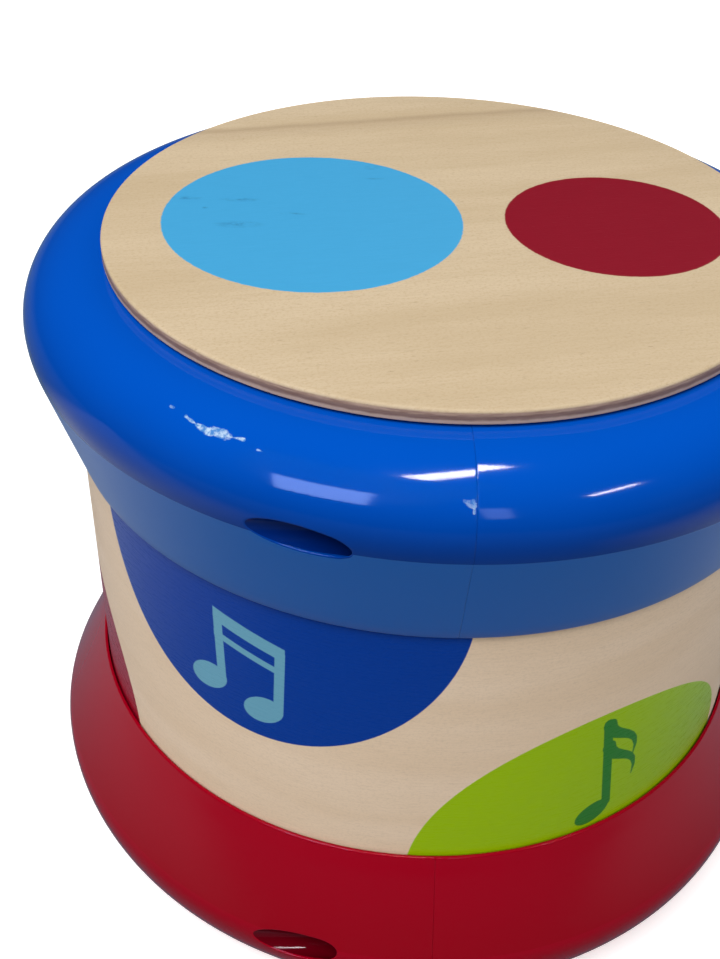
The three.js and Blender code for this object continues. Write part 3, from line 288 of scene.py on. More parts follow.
def make_lamp(name, azimuth, elevation, distance, size, radiance, tint=(1, 1, 1), roll=0.0, gloss=True, soft=True):
    """An area lamp that faces the rim's front. Gloss and soft say which kind of shine sees it."""
    lamp = bpy.data.lights.new(name, "AREA")
    lamp.shape = "RECTANGLE"
    lamp.size, lamp.size_y = size
    lamp.energy = radiance * math.pi * size[0] * size[1]
    lamp.color = tint
    side, rise = math.radians(azimuth), math.radians(elevation)
    away = Vector((math.sin(side) * math.cos(rise), -math.cos(side) * math.cos(rise), math.sin(rise)))
    turn = away.to_track_quat("Z", "Y").to_matrix() @ Matrix.Rotation(math.radians(roll), 3, "Z")
    holder = linked(name, lamp)
    holder.location = LIT_SPOT + away * distance
    holder.rotation_euler = turn.to_euler()
    holder.visible_glossy = gloss
    holder.visible_diffuse = soft


def make_under_light():
    lamp = bpy.data.lights.new("under_light", "AREA")
    lamp.shape = "DISK"
    lamp.size, lamp.energy, lamp.spread = 0.17, 0.06, math.radians(14)
    holder = linked("under_light", lamp)
    holder.location = (0, 0, -0.3)
    holder.rotation_euler = (math.pi, 0, 0)
    holder.visible_glossy = False


def make_room():
    """White for the camera, dimmer for soft light, and almost dark for gloss."""
    world = bpy.data.worlds.new("room")
    world.use_nodes = True
    world.node_tree.nodes.clear()
    start = Thread(world.node_tree)
    level = direct_rays(start).most(ROOM_LIGHT - start.ray("Glossy") * (ROOM_LIGHT - ROOM_GLOSS))
    sky = start.node("ShaderNodeBackground", {}, {"Color": (1, 1, 1, 1), "Strength": level})
    start.node("ShaderNodeOutputWorld", {}, {"Surface": sky})
    bpy.context.scene.world = world


make_room()
make_lamp("soft_key", -34, 60, 1.6, (1.3, 1.0), 6.2, gloss=False)
make_lamp("ceiling_lamp", 49, 85.4, 1.1, (0.38, 0.1), 74, soft=False)
make_lamp("window", -36, 40.5, 1.3, (0.5, 0.44), 22, tint=(0.42, 0.58, 1.0), roll=12, soft=False)
make_lamp("thin_light", 51, 43.5, 1.3, (0.31, 0.045), 74, soft=False)
make_lamp("small_window", 13.2, 28.1, 1.3, (0.14, 0.37), 6.6, tint=(0.5, 0.62, 1.0), soft=False)
for name, azimuth, radiance in (("left_fill", -80, 0.7), ("right_fill", 72, 1.3), ("back_fill", 150, 1.9)):
    make_lamp(name, azimuth, 8, 1.6, (1.2, 0.8), radiance, gloss=False)
make_under_light()

# %% [markdown]
# ## Sizes shared with the skeleton
#
# Round pieces are coarse in the skeleton, because collision and mass need few faces, so the shell, the head and both
# rings are made again with fine steps. Their main sizes are read off the skeleton's own boxes, and the shape of a
# ring's section is written out here, the same as in the CAD source.

# %% Shared sizes
FIT = 0.3
SHELL_WALL = 3.2
FLANGE_REACH, FLANGE_THICKNESS = 2, 3
LIP_WALL = 0.6
BORE_RADIUS = 2.75
BORE_START = 13  # from the seam
BORE_COVER = 0.9  # between the groove and the bore


def node_box(name):
    low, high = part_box(name)
    return Vector(low) / MM, Vector(high) / MM


head_low, head_high = node_box("drum_head")
shell_low, shell_high = node_box("drum_shell")
HEAD_RADIUS = head_high.x
SHELL_RADIUS = shell_high.x
SHELL_INNER = SHELL_RADIUS - SHELL_WALL
RIM_CREST = node_box("rim_half_left")[1].z
FLANGE_RADIUS = SHELL_RADIUS + FLANGE_REACH
LIP_INNER = SHELL_RADIUS + FIT
LIP_OUTER = LIP_INNER + LIP_WALL
OUTSIDE_FROM = LIP_INNER + 0.2  # a ring's faces past this radius are on its outside
RIM = SimpleNamespace(
    side=-1, crest=RIM_CREST, height=36, reach=SHELL_RADIUS + 7.9, crown_start=HEAD_RADIUS + 1.5,
    crown_depth=10.8, turn_radius=12, bore=HEAD_RADIUS - 3, groove=6.2, screw_axis=SHELL_RADIUS + 2.65,
)
BASE = SimpleNamespace(
    side=1, crest=0, height=37, reach=SHELL_RADIUS + 11.19, crown_start=68,
    crown_depth=14, turn_radius=8, bore=61, groove=9, screw_axis=SHELL_RADIUS + 5.8,
)
print("head radius", round(HEAD_RADIUS, 2), "shell radius", round(SHELL_RADIUS, 2), "rim crest", round(RIM_CREST, 2))

# %% [markdown]
# ## Fine round pieces
#
# Each round piece is a section swept round the drum's axis. The same helper makes full turns, for the head and
# shell, and half turns, for the rings. It works in millimetres and hands over metres. Faces shade smoothly except at
# edges sharper than a set angle.

# %% Round pieces
WELD, SLIVER = 0.0001, 0.002


def joined(name, loops, closed=True):
    """An object of loops of points, in millimetres. Closed joins the last loop to the first."""
    shape = bmesh.new()
    rows = [[shape.verts.new(Vector(point) * MM) for point in loop] for loop in loops]
    for here, there in zip(rows, rows[1:] + rows[:1] if closed else rows[1:]):
        for spot in range(len(here)):
            after = (spot + 1) % len(here)
            shape.faces.new([here[spot], there[spot], there[after], here[after]])
    if not closed:
        shape.faces.new(rows[0])
        shape.faces.new(rows[-1])
    bmesh.ops.remove_doubles(shape, verts=shape.verts, dist=WELD * MM)
    bmesh.ops.recalc_face_normals(shape, faces=shape.faces)
    mesh = bpy.data.meshes.new(name)
    shape.to_mesh(mesh)
    shape.free()
    return linked(name, mesh)


def swept(name, stations, closed=True):
    """Closed sections of (radius, height) points, each at its own angle about Z."""
    loops = [[(r * math.sin(angle), -r * math.cos(angle), z) for r, z in section] for angle, section in stations]
    return joined(name, loops, closed)


def full_turn(section, steps):
    return [(2 * math.pi * step / steps, section) for step in range(steps)]


def settle(piece, sharp_angle=32):
    """Applies a piece's modifiers, clears slivers and bare edges, and shades the piece."""
    bpy.context.view_layer.update()
    ready = piece.evaluated_get(bpy.context.evaluated_depsgraph_get())
    mesh = bpy.data.meshes.new_from_object(ready)
    piece.modifiers.clear()
    piece.data = mesh
    shape = bmesh.new()
    shape.from_mesh(mesh)
    bmesh.ops.dissolve_degenerate(shape, dist=SLIVER * MM, edges=shape.edges)
    bmesh.ops.delete(shape, geom=[edge for edge in shape.edges if not edge.link_faces], context="EDGES")
    shape.to_mesh(mesh)
    shape.free()
    mesh.polygons.foreach_set("use_smooth", [True] * len(mesh.polygons))
    mesh.set_sharp_from_angle(angle=math.radians(sharp_angle))
    mesh.update()
    return piece


def arc(centre, radii, start, end, steps):
    """Points on an ellipse, from one angle to another, in degrees."""
    angles = [math.radians(start + (end - start) * step / steps) for step in range(steps + 1)]
    return [(centre[0] + radii[0] * math.cos(a), centre[1] + radii[1] * math.sin(a)) for a in angles]


def between(first, last, steps):
    """Points between two others, without either."""
    return [tuple(a + (b - a) * (step / steps) for a, b in zip(first, last)) for step in range(1, steps)]


print("helpers ready")

# %% [markdown]
# ## Glossy plastic
#
# Both rings are moulded plastic with a polished crown. A slow waver in the surface and a little varying haze keep it
# from looking like glass, and the colour is painted darker towards the bottom of the crown, as painted shade. Beyond
# the crown each ring is satin, and the bores' walls, which lie in shadow, get painted shade: a darker colour of their
# own. The rim has a flaky pale scuff on its front left shoulder and a smaller one at the seam. Beside the seam its
# right half leans a little, so a lamp's reflection breaks there.

# %% Glossy plastic
EDGE_ROUNDING = 0.3
LEAN_END = (8, 20)  # from the seam
CROWN_MIDDLE = 72


def from_line(place, start, end):
    """How far a place is from the line between two points."""
    run = Vector(end) - Vector(start)
    off = place.vector("SUBTRACT", {0: place, 1: start})
    share = place.vector("DOT_PRODUCT", {0: off, 1: tuple(run)}, out="Value")
    share = share.math("MULTIPLY_ADD", 1 / run.length_squared, 0.0, clamp=True)
    nearest = place.vector("SCALE", {0: tuple(run), "Scale": share})
    return place.vector("DISTANCE", {0: off, 1: nearest}, out="Value")


def moulded_plastic(name, base, deep, polish=0.05, shine=0.2, sheen=0.0, heights=(0, 1), scuffs=(), lean=0.0):
    """Painted shade: deep, the colour at the lower height, turns to base at the upper. Polish is the least roughness.
    Lean tips the right half outward.
    """
    finish, place = new_finish(name)
    waver = place.noise(0.035, detail=1.0)
    haze = place.noise(0.09, detail=3.0, roughness=0.6)
    # Painted shade: the colour darkens towards the lower height, where less light falls.
    shade = (place.axes()[2] + waver * 2 - 1).band(*heights).mix(deep, base)
    rough = haze * 0.06 + polish
    flakes = place.noise(0.55, detail=3.0, roughness=0.55, stretch=(0.7, 0.7, 1.4))
    worn = place.noise(1.3, detail=3.0, roughness=0.6, shift=(7, 3, 1))
    for start, end, reach, strength in scuffs:
        mark = (from_line(place, start, end) / reach + (flakes - 0.5) * 3.6 - 0.8).inside(0.35)
        pale = worn.band(0.38, 0.62).mix(colour(74, 136, 204), colour(188, 212, 236))
        shade = (mark * strength).mix(shade, pale)
        rough = rough + mark * 0.35
    soft = place.node("ShaderNodeBevel", {"samples": 6}, {"Radius": EDGE_ROUNDING * MM})
    height = waver + haze * 0.15
    if lean:
        x, y, _ = place.axes()
        beside = x.math("GREATER_THAN", 0.0) * (1 - x.band(*LEAN_END))
        height = height + beside * (CROWN_MIDDLE - y.math("ABSOLUTE")) * lean
    lift = {"Height": height, "Distance": 0.25 * MM, "Strength": 0.1, "Normal": soft}
    close_finish(place, Normal=place.node("ShaderNodeBump", {}, lift), Base_Color=shade, Roughness=rough,
                 IOR=1.46, Specular_IOR_Level=shine, Sheen_Weight=sheen)
    return finish


RIM_SCUFFS = [
    # from, to, half width, strength
    ((-43.6, -59.0, 130.0), (-41.8, -60.8, 129.7), 0.3, 0.8),
    ((-41.8, -60.8, 129.7), (-39.6, -62.2, 129.6), 0.5, 0.9),
    ((-39.6, -62.2, 129.6), (-36.4, -64.0, 129.7), 0.8, 0.9),
    ((-36.4, -64.0, 129.7), (-34.2, -64.9, 129.8), 0.35, 0.9),
    ((-46.2, -56.6, 130.2), (-45.6, -57.0, 130.2), 0.25, 0.5),
    ((-32.2, -66.8, 129.4), (-31.3, -67.2, 129.3), 0.2, 0.6),
    ((-2.0, -76.3, 127.5), (-0.5, -76.9, 127.1), 0.5, 0.4),
    ((-0.6, -76.2, 127.6), (-0.4, -77.6, 126.4), 0.25, 0.5),
]
# Each finish's second colour is painted shade, taken on below its heights.
BLUE_FINISHES = (
    moulded_plastic("polished_blue_plastic", colour(0, 84, 196), colour(0, 61, 155), heights=(119, 134),
                    scuffs=RIM_SCUFFS, lean=2.2),
    moulded_plastic("satin_blue_plastic", colour(0, 101, 194), colour(0, 97, 188), polish=0.26, shine=0.3, sheen=0.06),
    # Painted shade: a darker blue for the bores' walls, which lie in shadow.
    moulded_plastic("shaded_blue_plastic", colour(0, 36, 112), colour(0, 30, 100)),
)
# Painted shade here too: the red darkens lower down on the base.
RED_FINISHES = (
    moulded_plastic("polished_red_plastic", colour(154, 0, 26), colour(146, 0, 21), heights=(0, 20)),
    moulded_plastic("soft_red_plastic", colour(154, 0, 26), colour(146, 0, 20), polish=0.12, heights=(15, 37)),
    # Painted shade: a darker red for the bores' walls, which lie in shadow.
    moulded_plastic("shaded_red_plastic", colour(92, 0, 14), colour(82, 0, 12)),
)
print("finishes:", [finish.name for finish in BLUE_FINISHES + RED_FINISHES])

# %% [markdown]
# ## A ring's section
#
# Each ring is two mouldings that clamp the edge of a deck, drawn together by two screws that run across the seam.
# The section is the same as in the CAD source: a crown, a tight turn, a cone to a thin lip, and a groove behind. At
# each end of a half ring a few sections lie close together and the very last is a hair smaller, which rounds the
# seam's edges, so that the joint shows as a fine line.

# %% A ring's section
SHOWN_SEAM = 0.016
SEAM_STEPS = [0.05, 0.14, 0.4]
SEAM_DRAW = 0.025


def cone_angle(ring):
    """How far the turn goes round before the cone leaves it."""
    across = LIP_OUTER - (ring.reach - ring.turn_radius)
    rise = ring.height - ring.crown_depth
    return math.atan2(rise, across) - math.acos(ring.turn_radius / math.hypot(across, rise))


def ring_outside(ring):
    """The outer line of a section, from crown to lip, as (radius, depth) points."""
    cone = math.degrees(cone_angle(ring))
    middle = (ring.crown_start, ring.crown_depth)
    crown = arc(middle, (ring.reach - ring.crown_start, ring.crown_depth), -90, 0, 30)
    corner = (ring.reach - ring.turn_radius, ring.crown_depth)
    turn = arc(corner, (ring.turn_radius, ring.turn_radius), 0, cone, 10)[1:]
    return [*crown, *turn, *between(turn[-1], (LIP_OUTER, ring.height), 8)]


def outside_radius(ring, depth):
    """How far out a ring reaches at a depth below its crest."""
    line = ring_outside(ring)
    for (radius, start), (next_radius, end) in zip(line, line[1:]):
        if start <= depth <= end:
            return radius + (next_radius - radius) * (depth - start) / (end - start)
    return line[-1][0]


def groove_edges(ring):
    """Where the deck's groove starts and ends, below the crest."""
    return ring.groove - FIT, ring.groove + FLANGE_THICKNESS + FIT


def ring_section(ring):
    """The section as (radius, height) points: outside, rounded lip, groove behind."""
    lip = LIP_OUTER
    groove_start, groove_end = groove_edges(ring)
    end = ring.height
    rounded = [(lip + 0.05, end - 0.3), (lip - 0.04, end - 0.1), (lip - 0.16, end - 0.01), (lip - 0.3, end)]
    section = [(ring.bore, 0), *ring_outside(ring), *rounded, (LIP_INNER, end)]
    section += [(LIP_INNER, groove_end), (FLANGE_RADIUS + FIT, groove_end)]
    section += [(FLANGE_RADIUS + FIT, groove_start), (ring.bore, groove_start)]
    return [(radius, ring.crest + ring.side * depth) for radius, depth in section]


def drawn_in(section, ring, amount):
    """The section with its outside pulled in towards the ring's middle."""
    middle = Vector((ring.bore + 9, ring.crest + ring.side * 12))
    pulled = []
    for radius, height in section:
        away = Vector((radius, height)) - middle
        outside = radius > OUTSIDE_FROM or abs(height - ring.crest) < ring.groove / 2
        short = away - away.normalized() * amount if outside and radius > ring.bore else away
        pulled.append(tuple(middle + short))
    return pulled


def half_turn(section, ring, steps):
    """Stations of a half ring, with close ones at both ends for the seam."""
    slack = SHOWN_SEAM / 2 / ring.reach
    angles = [slack + step / ring.reach for step in SEAM_STEPS]
    angles += [math.pi * step / steps for step in range(1, steps)]
    angles += [math.pi - angle for angle in reversed(angles[:len(SEAM_STEPS)])]
    inside = drawn_in(section, ring, SEAM_DRAW)
    return [(slack, inside), *[(angle, section) for angle in angles], (math.pi - slack, inside)]


print("points in a section:", len(ring_section(RIM)))

# %% [markdown]
# ## Bores with rounded mouths
#
# A screw's bore runs across the seam and comes out through the ring's side in a long slanting mouth, which no sweep
# could make. So Booleans cut it: one with a plain drill, and one with a tool that follows the mouth and rounds its
# edge. Where bore and outside meet at a flat angle the rounding would run far out, so it is held within limits.

# %% Bores with rounded mouths
MOUTH_ROUNDING = 0.3
LEAST_SETBACK, MOST_SETBACK = 0.15, 0.9
SLOPE_STEP = 0.2
CURVE_STEPS, CURVE_PULL = 5, 0.15
TOOL_TIP, TOOL_SLACK = 0.3, 0.12


def bore_height(ring):
    return ring.crest + ring.side * (groove_edges(ring)[1] + BORE_COVER + BORE_RADIUS)


def bore_circle(ring, steps):
    """Points round a bore, each as (angle, y, z)."""
    angles = [2 * math.pi * step / steps for step in range(steps)]
    y, z = ring.screw_axis, bore_height(ring)
    return [(a, y + BORE_RADIUS * math.cos(a), z + BORE_RADIUS * math.sin(a)) for a in angles]


def bore_loops(ring, steps=64):
    """A plain drill where the screw goes: a circle at each end."""
    circle = bore_circle(ring, steps)
    return [[(x, y, z) for _, y, z in circle] for x in (BORE_START, BORE_START + ring.reach)]


def mouth_loops(ring, steps=128):
    """A tool that rounds the edge where a bore comes out, as sections round the mouth."""
    loops = []
    shares = [part / CURVE_STEPS for part in range(CURVE_STEPS + 1)]
    for angle, y, z in bore_circle(ring, steps):
        depth = ring.side * (z - ring.crest)
        reach = outside_radius(ring, depth)
        change = outside_radius(ring, depth + SLOPE_STEP) - outside_radius(ring, depth - SLOPE_STEP)
        lean = ring.side * change / (2 * SLOPE_STEP)
        edge = Vector((math.sqrt(reach * reach - y * y), y, z))
        out = Vector((edge.x / reach, edge.y / reach, -lean)).normalized()
        wall = Vector((0, -math.cos(angle), -math.sin(angle)))
        run = out.cross(wall).normalized()
        away, into = out.cross(run), run.cross(wall)
        setback = min(max(MOUTH_ROUNDING / math.tan(away.angle(into) / 2), LEAST_SETBACK), MOST_SETBACK)
        first, last = edge + away * setback, edge + into * setback
        pull = edge.lerp((first + last) / 2, CURVE_PULL)
        curve = [first * (1 - s) ** 2 + pull * 2 * s * (1 - s) + last * s * s for s in shares]
        tip = edge - (away + into).normalized() * TOOL_TIP
        loops.append([tip, first + out * TOOL_SLACK, *curve, last + wall * TOOL_SLACK])
    return loops


def cut_away(piece, tool):
    """Cuts a tool out of a piece. The cut faces keep the tool's finish."""
    cut = piece.modifiers.new(tool.name, "BOOLEAN")
    cut.object = tool
    cut.operation = "DIFFERENCE"
    cut.solver = "EXACT"
    cut.material_mode = "TRANSFER"


print("bore heights:", [round(bore_height(ring), 2) for ring in (RIM, BASE)])

# %% [markdown]
# ## The rim and the base
#
# Each half ring is swept, and its faces are sorted by depth: polished on the crown and the turn, satin on the cone.
# Then it is drilled. Every half is made on the same side, and half a turn brings it to the other.


# %% The rim and the base
def make_ring_half(name, ring, turn, crown, band, wall, steps=160):
    """A half ring with a finish for its crown, band and bore, turned to its side."""
    piece = swept(name, half_turn(ring_section(ring), ring, steps), closed=False)
    piece.data.materials.append(crown)
    piece.data.materials.append(band)
    turn_end = ring.crown_depth + ring.turn_radius * math.sin(cone_angle(ring))
    for face in piece.data.polygons:
        depth = ring.side * (face.center.z / MM - ring.crest)
        face.material_index = 1 if depth > turn_end and face.center.xy.length / MM > OUTSIDE_FROM else 0
    tools = [joined("bore", bore_loops(ring), closed=False), joined("mouth", mouth_loops(ring))]
    # The bore's cut faces take the wall finish, which is painted shade.
    for tool, finish in zip(tools, (wall, crown)):
        tool.data.materials.append(finish)
        cut_away(piece, tool)
    settle(piece, 38)
    for tool in tools:
        bpy.data.objects.remove(tool)
    piece.data.transform(Matrix.Rotation(turn, 4, "Z"))
    return piece


for ring_name, ring, finishes, slot in (
    ("rim", RIM, BLUE_FINISHES, "blue_plastic"), ("base", BASE, RED_FINISHES, "red_plastic"),
):
    for side, turn in (("right", 0.0), ("left", math.pi)):
        node = f"{ring_name}_half_{side}"
        piece = make_ring_half(f"fine_{node}", ring, turn, *finishes)
        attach(piece, "drum_body")
        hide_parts(node)
        print(piece.name, len(piece.data.polygons), "faces")

# %% [markdown]
# ## Wood and wear
#
# The head and the shell are both wood, so the grain is written once. It is noise stretched along the way the fibres
# run. Wear on the print is noise too: it breaks up soft ovals, so that they look rubbed instead of painted.


# %% Wood and wear
def wood_grain(place, angle):
    """Grain along X, turned by an angle: slow bands, fine fibres, short dark flecks and speckle, each 0 to 1."""
    laid = place.node("ShaderNodeMapping", {}, {"Vector": place, "Rotation": (0, 0, -angle)})
    bands = laid.noise(0.1, detail=3.0, roughness=0.55, stretch=(0.14, 1.0, 1.0))
    fibres = laid.noise(1.5, detail=4.0, roughness=0.7, stretch=(0.16, 1.5, 1.0))
    flecks = laid.noise(1.3, detail=2.5, roughness=0.6, stretch=(0.34, 1.7, 1.0), shift=(40, 9, 2)).band(0.62, 0.74)
    speckle = laid.noise(2.2, detail=2.0, roughness=0.7, stretch=(0.7, 1.0, 1.0), shift=(3, 60, 5))
    return laid, bands, fibres, flecks, speckle


def smudges(place, spots):
    """Soft dark marks, each an ellipse of (x, y, length, width) broken up by noise."""
    x, y, _ = place.axes()
    total = None
    for at_x, at_y, length, width in spots:
        mark = (span((x - at_x) / length, (y - at_y) / width) - 0.6).inside(1.1)
        total = mark if total is None else total.most(mark)
    return total * place.noise(0.6, detail=3.0, roughness=0.65, stretch=(0.7, 1.2, 1)).band(0.36, 0.66)


print("wood helpers ready")

# %% [markdown]
# ## The head
#
# The head is a thin three-ply disc with its top edge rounded over. Its pads are printed on the wood, so they are
# part of one finish: two circles laid over a grain that runs almost from left to right. The cut edge shows the plies,
# so below the rounded edge the finish follows height.

# %% The head
HEAD_ROUNDING, HEAD_FOOT = 0.6, 0.2
LEFT_PAD, RIGHT_PAD = (-24.7, -0.5, 28.4), (32.8, -0.5, 21.0)  # middle and radius
PAD_SMUDGES = [
    # middle, half length, half width
    (-49.4, 7.5, 3.6, 0.8), (-38.6, 7.2, 4.2, 0.9), (-45.2, 3.4, 0.7, 0.5), (-38.6, -3.4, 4.6, 1.5),
    (-28.0, 1.5, 3.0, 0.5), (-12.9, 23.4, 1.7, 1.2), (-12.5, 18.0, 2.0, 0.5),
]
HEAD_GRAIN = math.radians(10.5)
STREAK_AT, WASH_AT = 49.8, 47.6  # across the grain
MIDDLE_PLY, MIDDLE_PLY_HALF, LOWER_PLY = 1.2, 0.38, 0.66  # above the head's underside
CUT_EDGE = 0.5  # below the head's top


def head_section():
    top, bottom = head_high.z, head_low.z
    shoulder, foot = HEAD_RADIUS - HEAD_ROUNDING, HEAD_RADIUS - HEAD_FOOT
    rounding = arc((shoulder, top - HEAD_ROUNDING), (HEAD_ROUNDING, HEAD_ROUNDING), 0, 90, 8)
    lower = arc((foot, bottom + HEAD_FOOT), (HEAD_FOOT, HEAD_FOOT), -90, 0, 3)
    rings = [(radius, top) for radius in (52, 40, 28, 16, 6)]
    return [(0.01, bottom), (30, bottom), *lower, *rounding, *rings, (0.01, top)]


def pad(x, y, circle, ragged):
    """1 on a printed pad, with an edge that follows the fibres."""
    at_x, at_y, radius = circle
    return (span(x - at_x, y - at_y) - radius + ragged).inside(0.22)


def cut_plies(place, z):
    """The cut edge's colours: a dark middle ply, and a pale one under it."""
    level = z + (place.noise(0.5, detail=3.0, stretch=(1, 1, 0.2)) - 0.5) * 0.35 - head_low.z
    cut_end = place.noise(0.5, detail=4.0, roughness=0.65, stretch=(0.5, 0.5, 5.0)).band(0.32, 0.7)
    edge = cut_end.mix(colour(196, 166, 142), colour(158, 126, 106))
    middle = (level - MIDDLE_PLY).math("ABSOLUTE") - MIDDLE_PLY_HALF
    edge = (middle.inside(0.35) * 0.7).mix(edge, colour(128, 99, 87))
    return ((level - LOWER_PLY).inside(0.3) * 0.7).mix(edge, colour(222, 192, 166))


def head_wood():
    finish, place = new_finish("printed_head_wood")
    x, y, z = place.axes()
    laid, bands, fibres, flecks, speckle = wood_grain(place, HEAD_GRAIN)
    wood = bands.band(0.3, 0.7).mix(colour(215, 194, 162), colour(205, 183, 149))
    wood = (fibres.band(0.4, 0.75) * 0.3).mix(wood, colour(192, 166, 130))
    wood = (speckle.band(0.45, 0.7) * 0.45).mix(wood, colour(192, 164, 126))
    wood = (flecks * 0.3).mix(wood, colour(150, 120, 88))
    run, across, _ = laid.axes()
    across = across - run * 0.04 + laid.noise(0.06, detail=2.0, stretch=(0.6, 0, 0)) * 4 - 2
    streak = ((across - STREAK_AT).math("ABSOLUTE") - 0.6).inside(2.2)
    wash = ((across - WASH_AT).math("ABSOLUTE") - 2.4).inside(4.0)
    wood = (streak * 0.32 + wash * 0.14).mix(wood, colour(138, 110, 84))
    ragged = (fibres - 0.5) * 0.5
    left_pad, right_pad = pad(x, y, LEFT_PAD, ragged), pad(x, y, RIGHT_PAD, ragged)
    show = fibres.band(0.3, 0.8) * 0.22
    blue_ink = show.mix(colour(68, 168, 220), colour(56, 152, 204))
    blue_ink = (smudges(place, PAD_SMUDGES) * 0.6).mix(blue_ink, colour(30, 104, 154))
    red_ink = show.mix(colour(142, 8, 34), colour(128, 6, 28))
    shade = right_pad.mix(left_pad.mix(wood, blue_ink), red_ink)
    shade = (z - (head_high.z - CUT_EDGE)).inside(0.3).mix(shade, cut_plies(place, z))
    pads = left_pad + right_pad
    relief = fibres * 0.5 - flecks * 0.6 + speckle * 0.3 + pads * 0.25
    close_finish(place, height=relief, depth=0.12, strength=0.35, Base_Color=shade,
                 Roughness=0.52 - pads * 0.1 + fibres * 0.1, IOR=1.45, Specular_IOR_Level=0.24)
    return finish


head = swept("fine_drum_head", full_turn(head_section(), 256))
settle(head, 40)
head.data.materials.append(head_wood())
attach(head, "head")
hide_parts("drum_head")
print("head faces:", len(head.data.polygons))

# %% [markdown]
# ## The shell
#
# The shell is a bent sheet of pale plywood, so its grain runs round it. Its print is laid out flat: large dots, high
# and low by turns, each with a music note. The mesh carries that layout as a UV map in millimetres, measured from the
# nearest dot's centre, so one drawing of each note serves them all. The dots themselves are circles by distance,
# because they reach past the halfway lines.

# %% The shell
INK_BLUE, INK_GREEN, INK_RED = colour(0, 61, 160), colour(164, 204, 0), colour(164, 12, 40)
NOTE_BLUE, NOTE_GREEN, NOTE_RED = colour(112, 174, 200), colour(48, 132, 44), colour(214, 128, 128)
DOTS = [
    # angle in degrees, height, radius, ink, note ink, whether the note is a pair
    (-28.8, 100.4, 38.8, INK_BLUE, NOTE_BLUE, True),
    (27.1, 30.2, 39.7, INK_GREEN, NOTE_GREEN, False),
    (87.0, 100.4, 38.8, INK_RED, NOTE_RED, True),
    (147.0, 30.2, 39.0, INK_BLUE, NOTE_BLUE, False),
    (-149.0, 100.4, 38.8, INK_GREEN, NOTE_GREEN, True),
    (-88.0, 31.0, 38.5, INK_RED, NOTE_RED, False),
]


def turned_by(first, second):
    """The angle from one direction to another, in degrees, the short way."""
    return (second - first + 180) % 360 - 180


def shell_section():
    heights = (shell_low.z, 36, 50, 66, 82, 97, shell_high.z)
    outside = [(SHELL_RADIUS, height) for height in heights]
    return [*outside, (SHELL_INNER, shell_high.z), (SHELL_INNER, shell_low.z)]


shell = swept("fine_drum_shell", full_turn(shell_section(), 240))
settle(shell, 40)
layout = shell.data.uv_layers.new(name="print_layout")
for face in shell.data.polygons:
    facing = math.degrees(math.atan2(face.center.x, -face.center.y))
    dot = min(DOTS, key=lambda spot: abs(turned_by(spot[0], facing)))
    for corner in face.loop_indices:
        point = shell.data.vertices[shell.data.loops[corner].vertex_index].co
        angle = turned_by(dot[0], math.degrees(math.atan2(point.x, -point.y)))
        layout.data[corner].uv = (math.radians(angle) * SHELL_RADIUS, point.z / MM - dot[1])
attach(shell, "drum_body")
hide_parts("drum_shell")
print("shell faces:", len(shell.data.polygons), "dots:", len(DOTS))

# %% [markdown]
# ## Notes
#
# A note is drawn from a few simple shapes: a tilted oval for each head and bars that may taper for stems, beams and
# flags. Each gives its distance in millimetres, the smallest one wins, and one soft edge is cut from it at the end.


# %% Notes
def oval(x, y, at, radii, tilt):
    cos, sin = math.cos(math.radians(tilt)), math.sin(math.radians(tilt))
    along = (x - at[0]) * cos + (y - at[1]) * sin
    across = (y - at[1]) * cos - (x - at[0]) * sin
    return (span(along / radii[0], across / radii[1]) - 1) * min(radii)


def bar(x, y, start, end, first_half, last_half):
    """A bar whose half width goes from first_half to last_half."""
    run_x, run_y = end[0] - start[0], end[1] - start[1]
    square = run_x * run_x + run_y * run_y
    rise = (y - start[1]) * (run_y / square)
    share = ((x - start[0]) * (run_x / square)).math("MULTIPLY_ADD", 1.0, rise, clamp=True)
    off_x = x - start[0] - share * run_x
    off_y = y - start[1] - share * run_y
    return span(off_x, off_y) - first_half - share * (last_half - first_half)


def least_of(shapes):
    total = shapes[0]
    for shape in shapes[1:]:
        total = total.math("MINIMUM", shape)
    return total


def note_pair(x, y):
    beams = least_of([
        bar(x, y, (-8.6, -12.2), (7.0, -16.1), 1.5, 1.5),
        bar(x, y, (-8.4, -16.9), (4.6, -20.2), 0.75, 0.75),
    ])
    return least_of([
        oval(x, y, (-9.8, -28.9), (4.3, 3.1), 26),
        oval(x, y, (2.0, -31.6), (4.3, 3.1), 26),
        bar(x, y, (-6.75, -28.2), (-7.2, -12.6), 0.95, 0.95),
        bar(x, y, (5.1, -30.9), (5.6, -15.8), 1.0, 1.0),
        beams.most(x - 6.55).most(-8.1 - x),
    ])


def flag(x, y, top, steps=8):
    """A flag that leaves the stem thick, swings out and ends in a point."""
    pulls = [(0.0, 0.0), (0.6, -5.0), (9.0, -3.6), (7.6, -12.0)]
    spots = []
    for t in [step / steps for step in range(steps + 1)]:
        shares = ((1 - t) ** 3, 3 * t * (1 - t) ** 2, 3 * t * t * (1 - t), t ** 3)
        place = tuple(top[axis] + sum(w * pull[axis] for w, pull in zip(shares, pulls)) for axis in (0, 1))
        spots.append((place, 1.5 - 1.35 * t ** 1.6))
    return least_of([bar(x, y, start, end, first, last) for (start, first), (end, last) in zip(spots, spots[1:])])


def note_single(x, y):
    head_oval = oval(x, y, (-1.9, 10.6), (4.0, 2.8), 26)
    stem = bar(x, y, (1.2, 12.0), (-2.4, 36.6), 1.05, 1.05)
    return least_of([head_oval, stem, flag(x, y, (-2.0, 36.0)), flag(x, y, (-1.1, 29.6))])


print("notes ready")

# %% [markdown]
# ## Print on the shell
#
# The shell's finish is laid out flat, round the shell and up it. Each dot is a circle there, and its note is drawn
# from the UV map. The ink lets a little of the grain through, and it is smoother than the bare wood.

# %% Print on the shell
PRINT_EDGE = 0.16


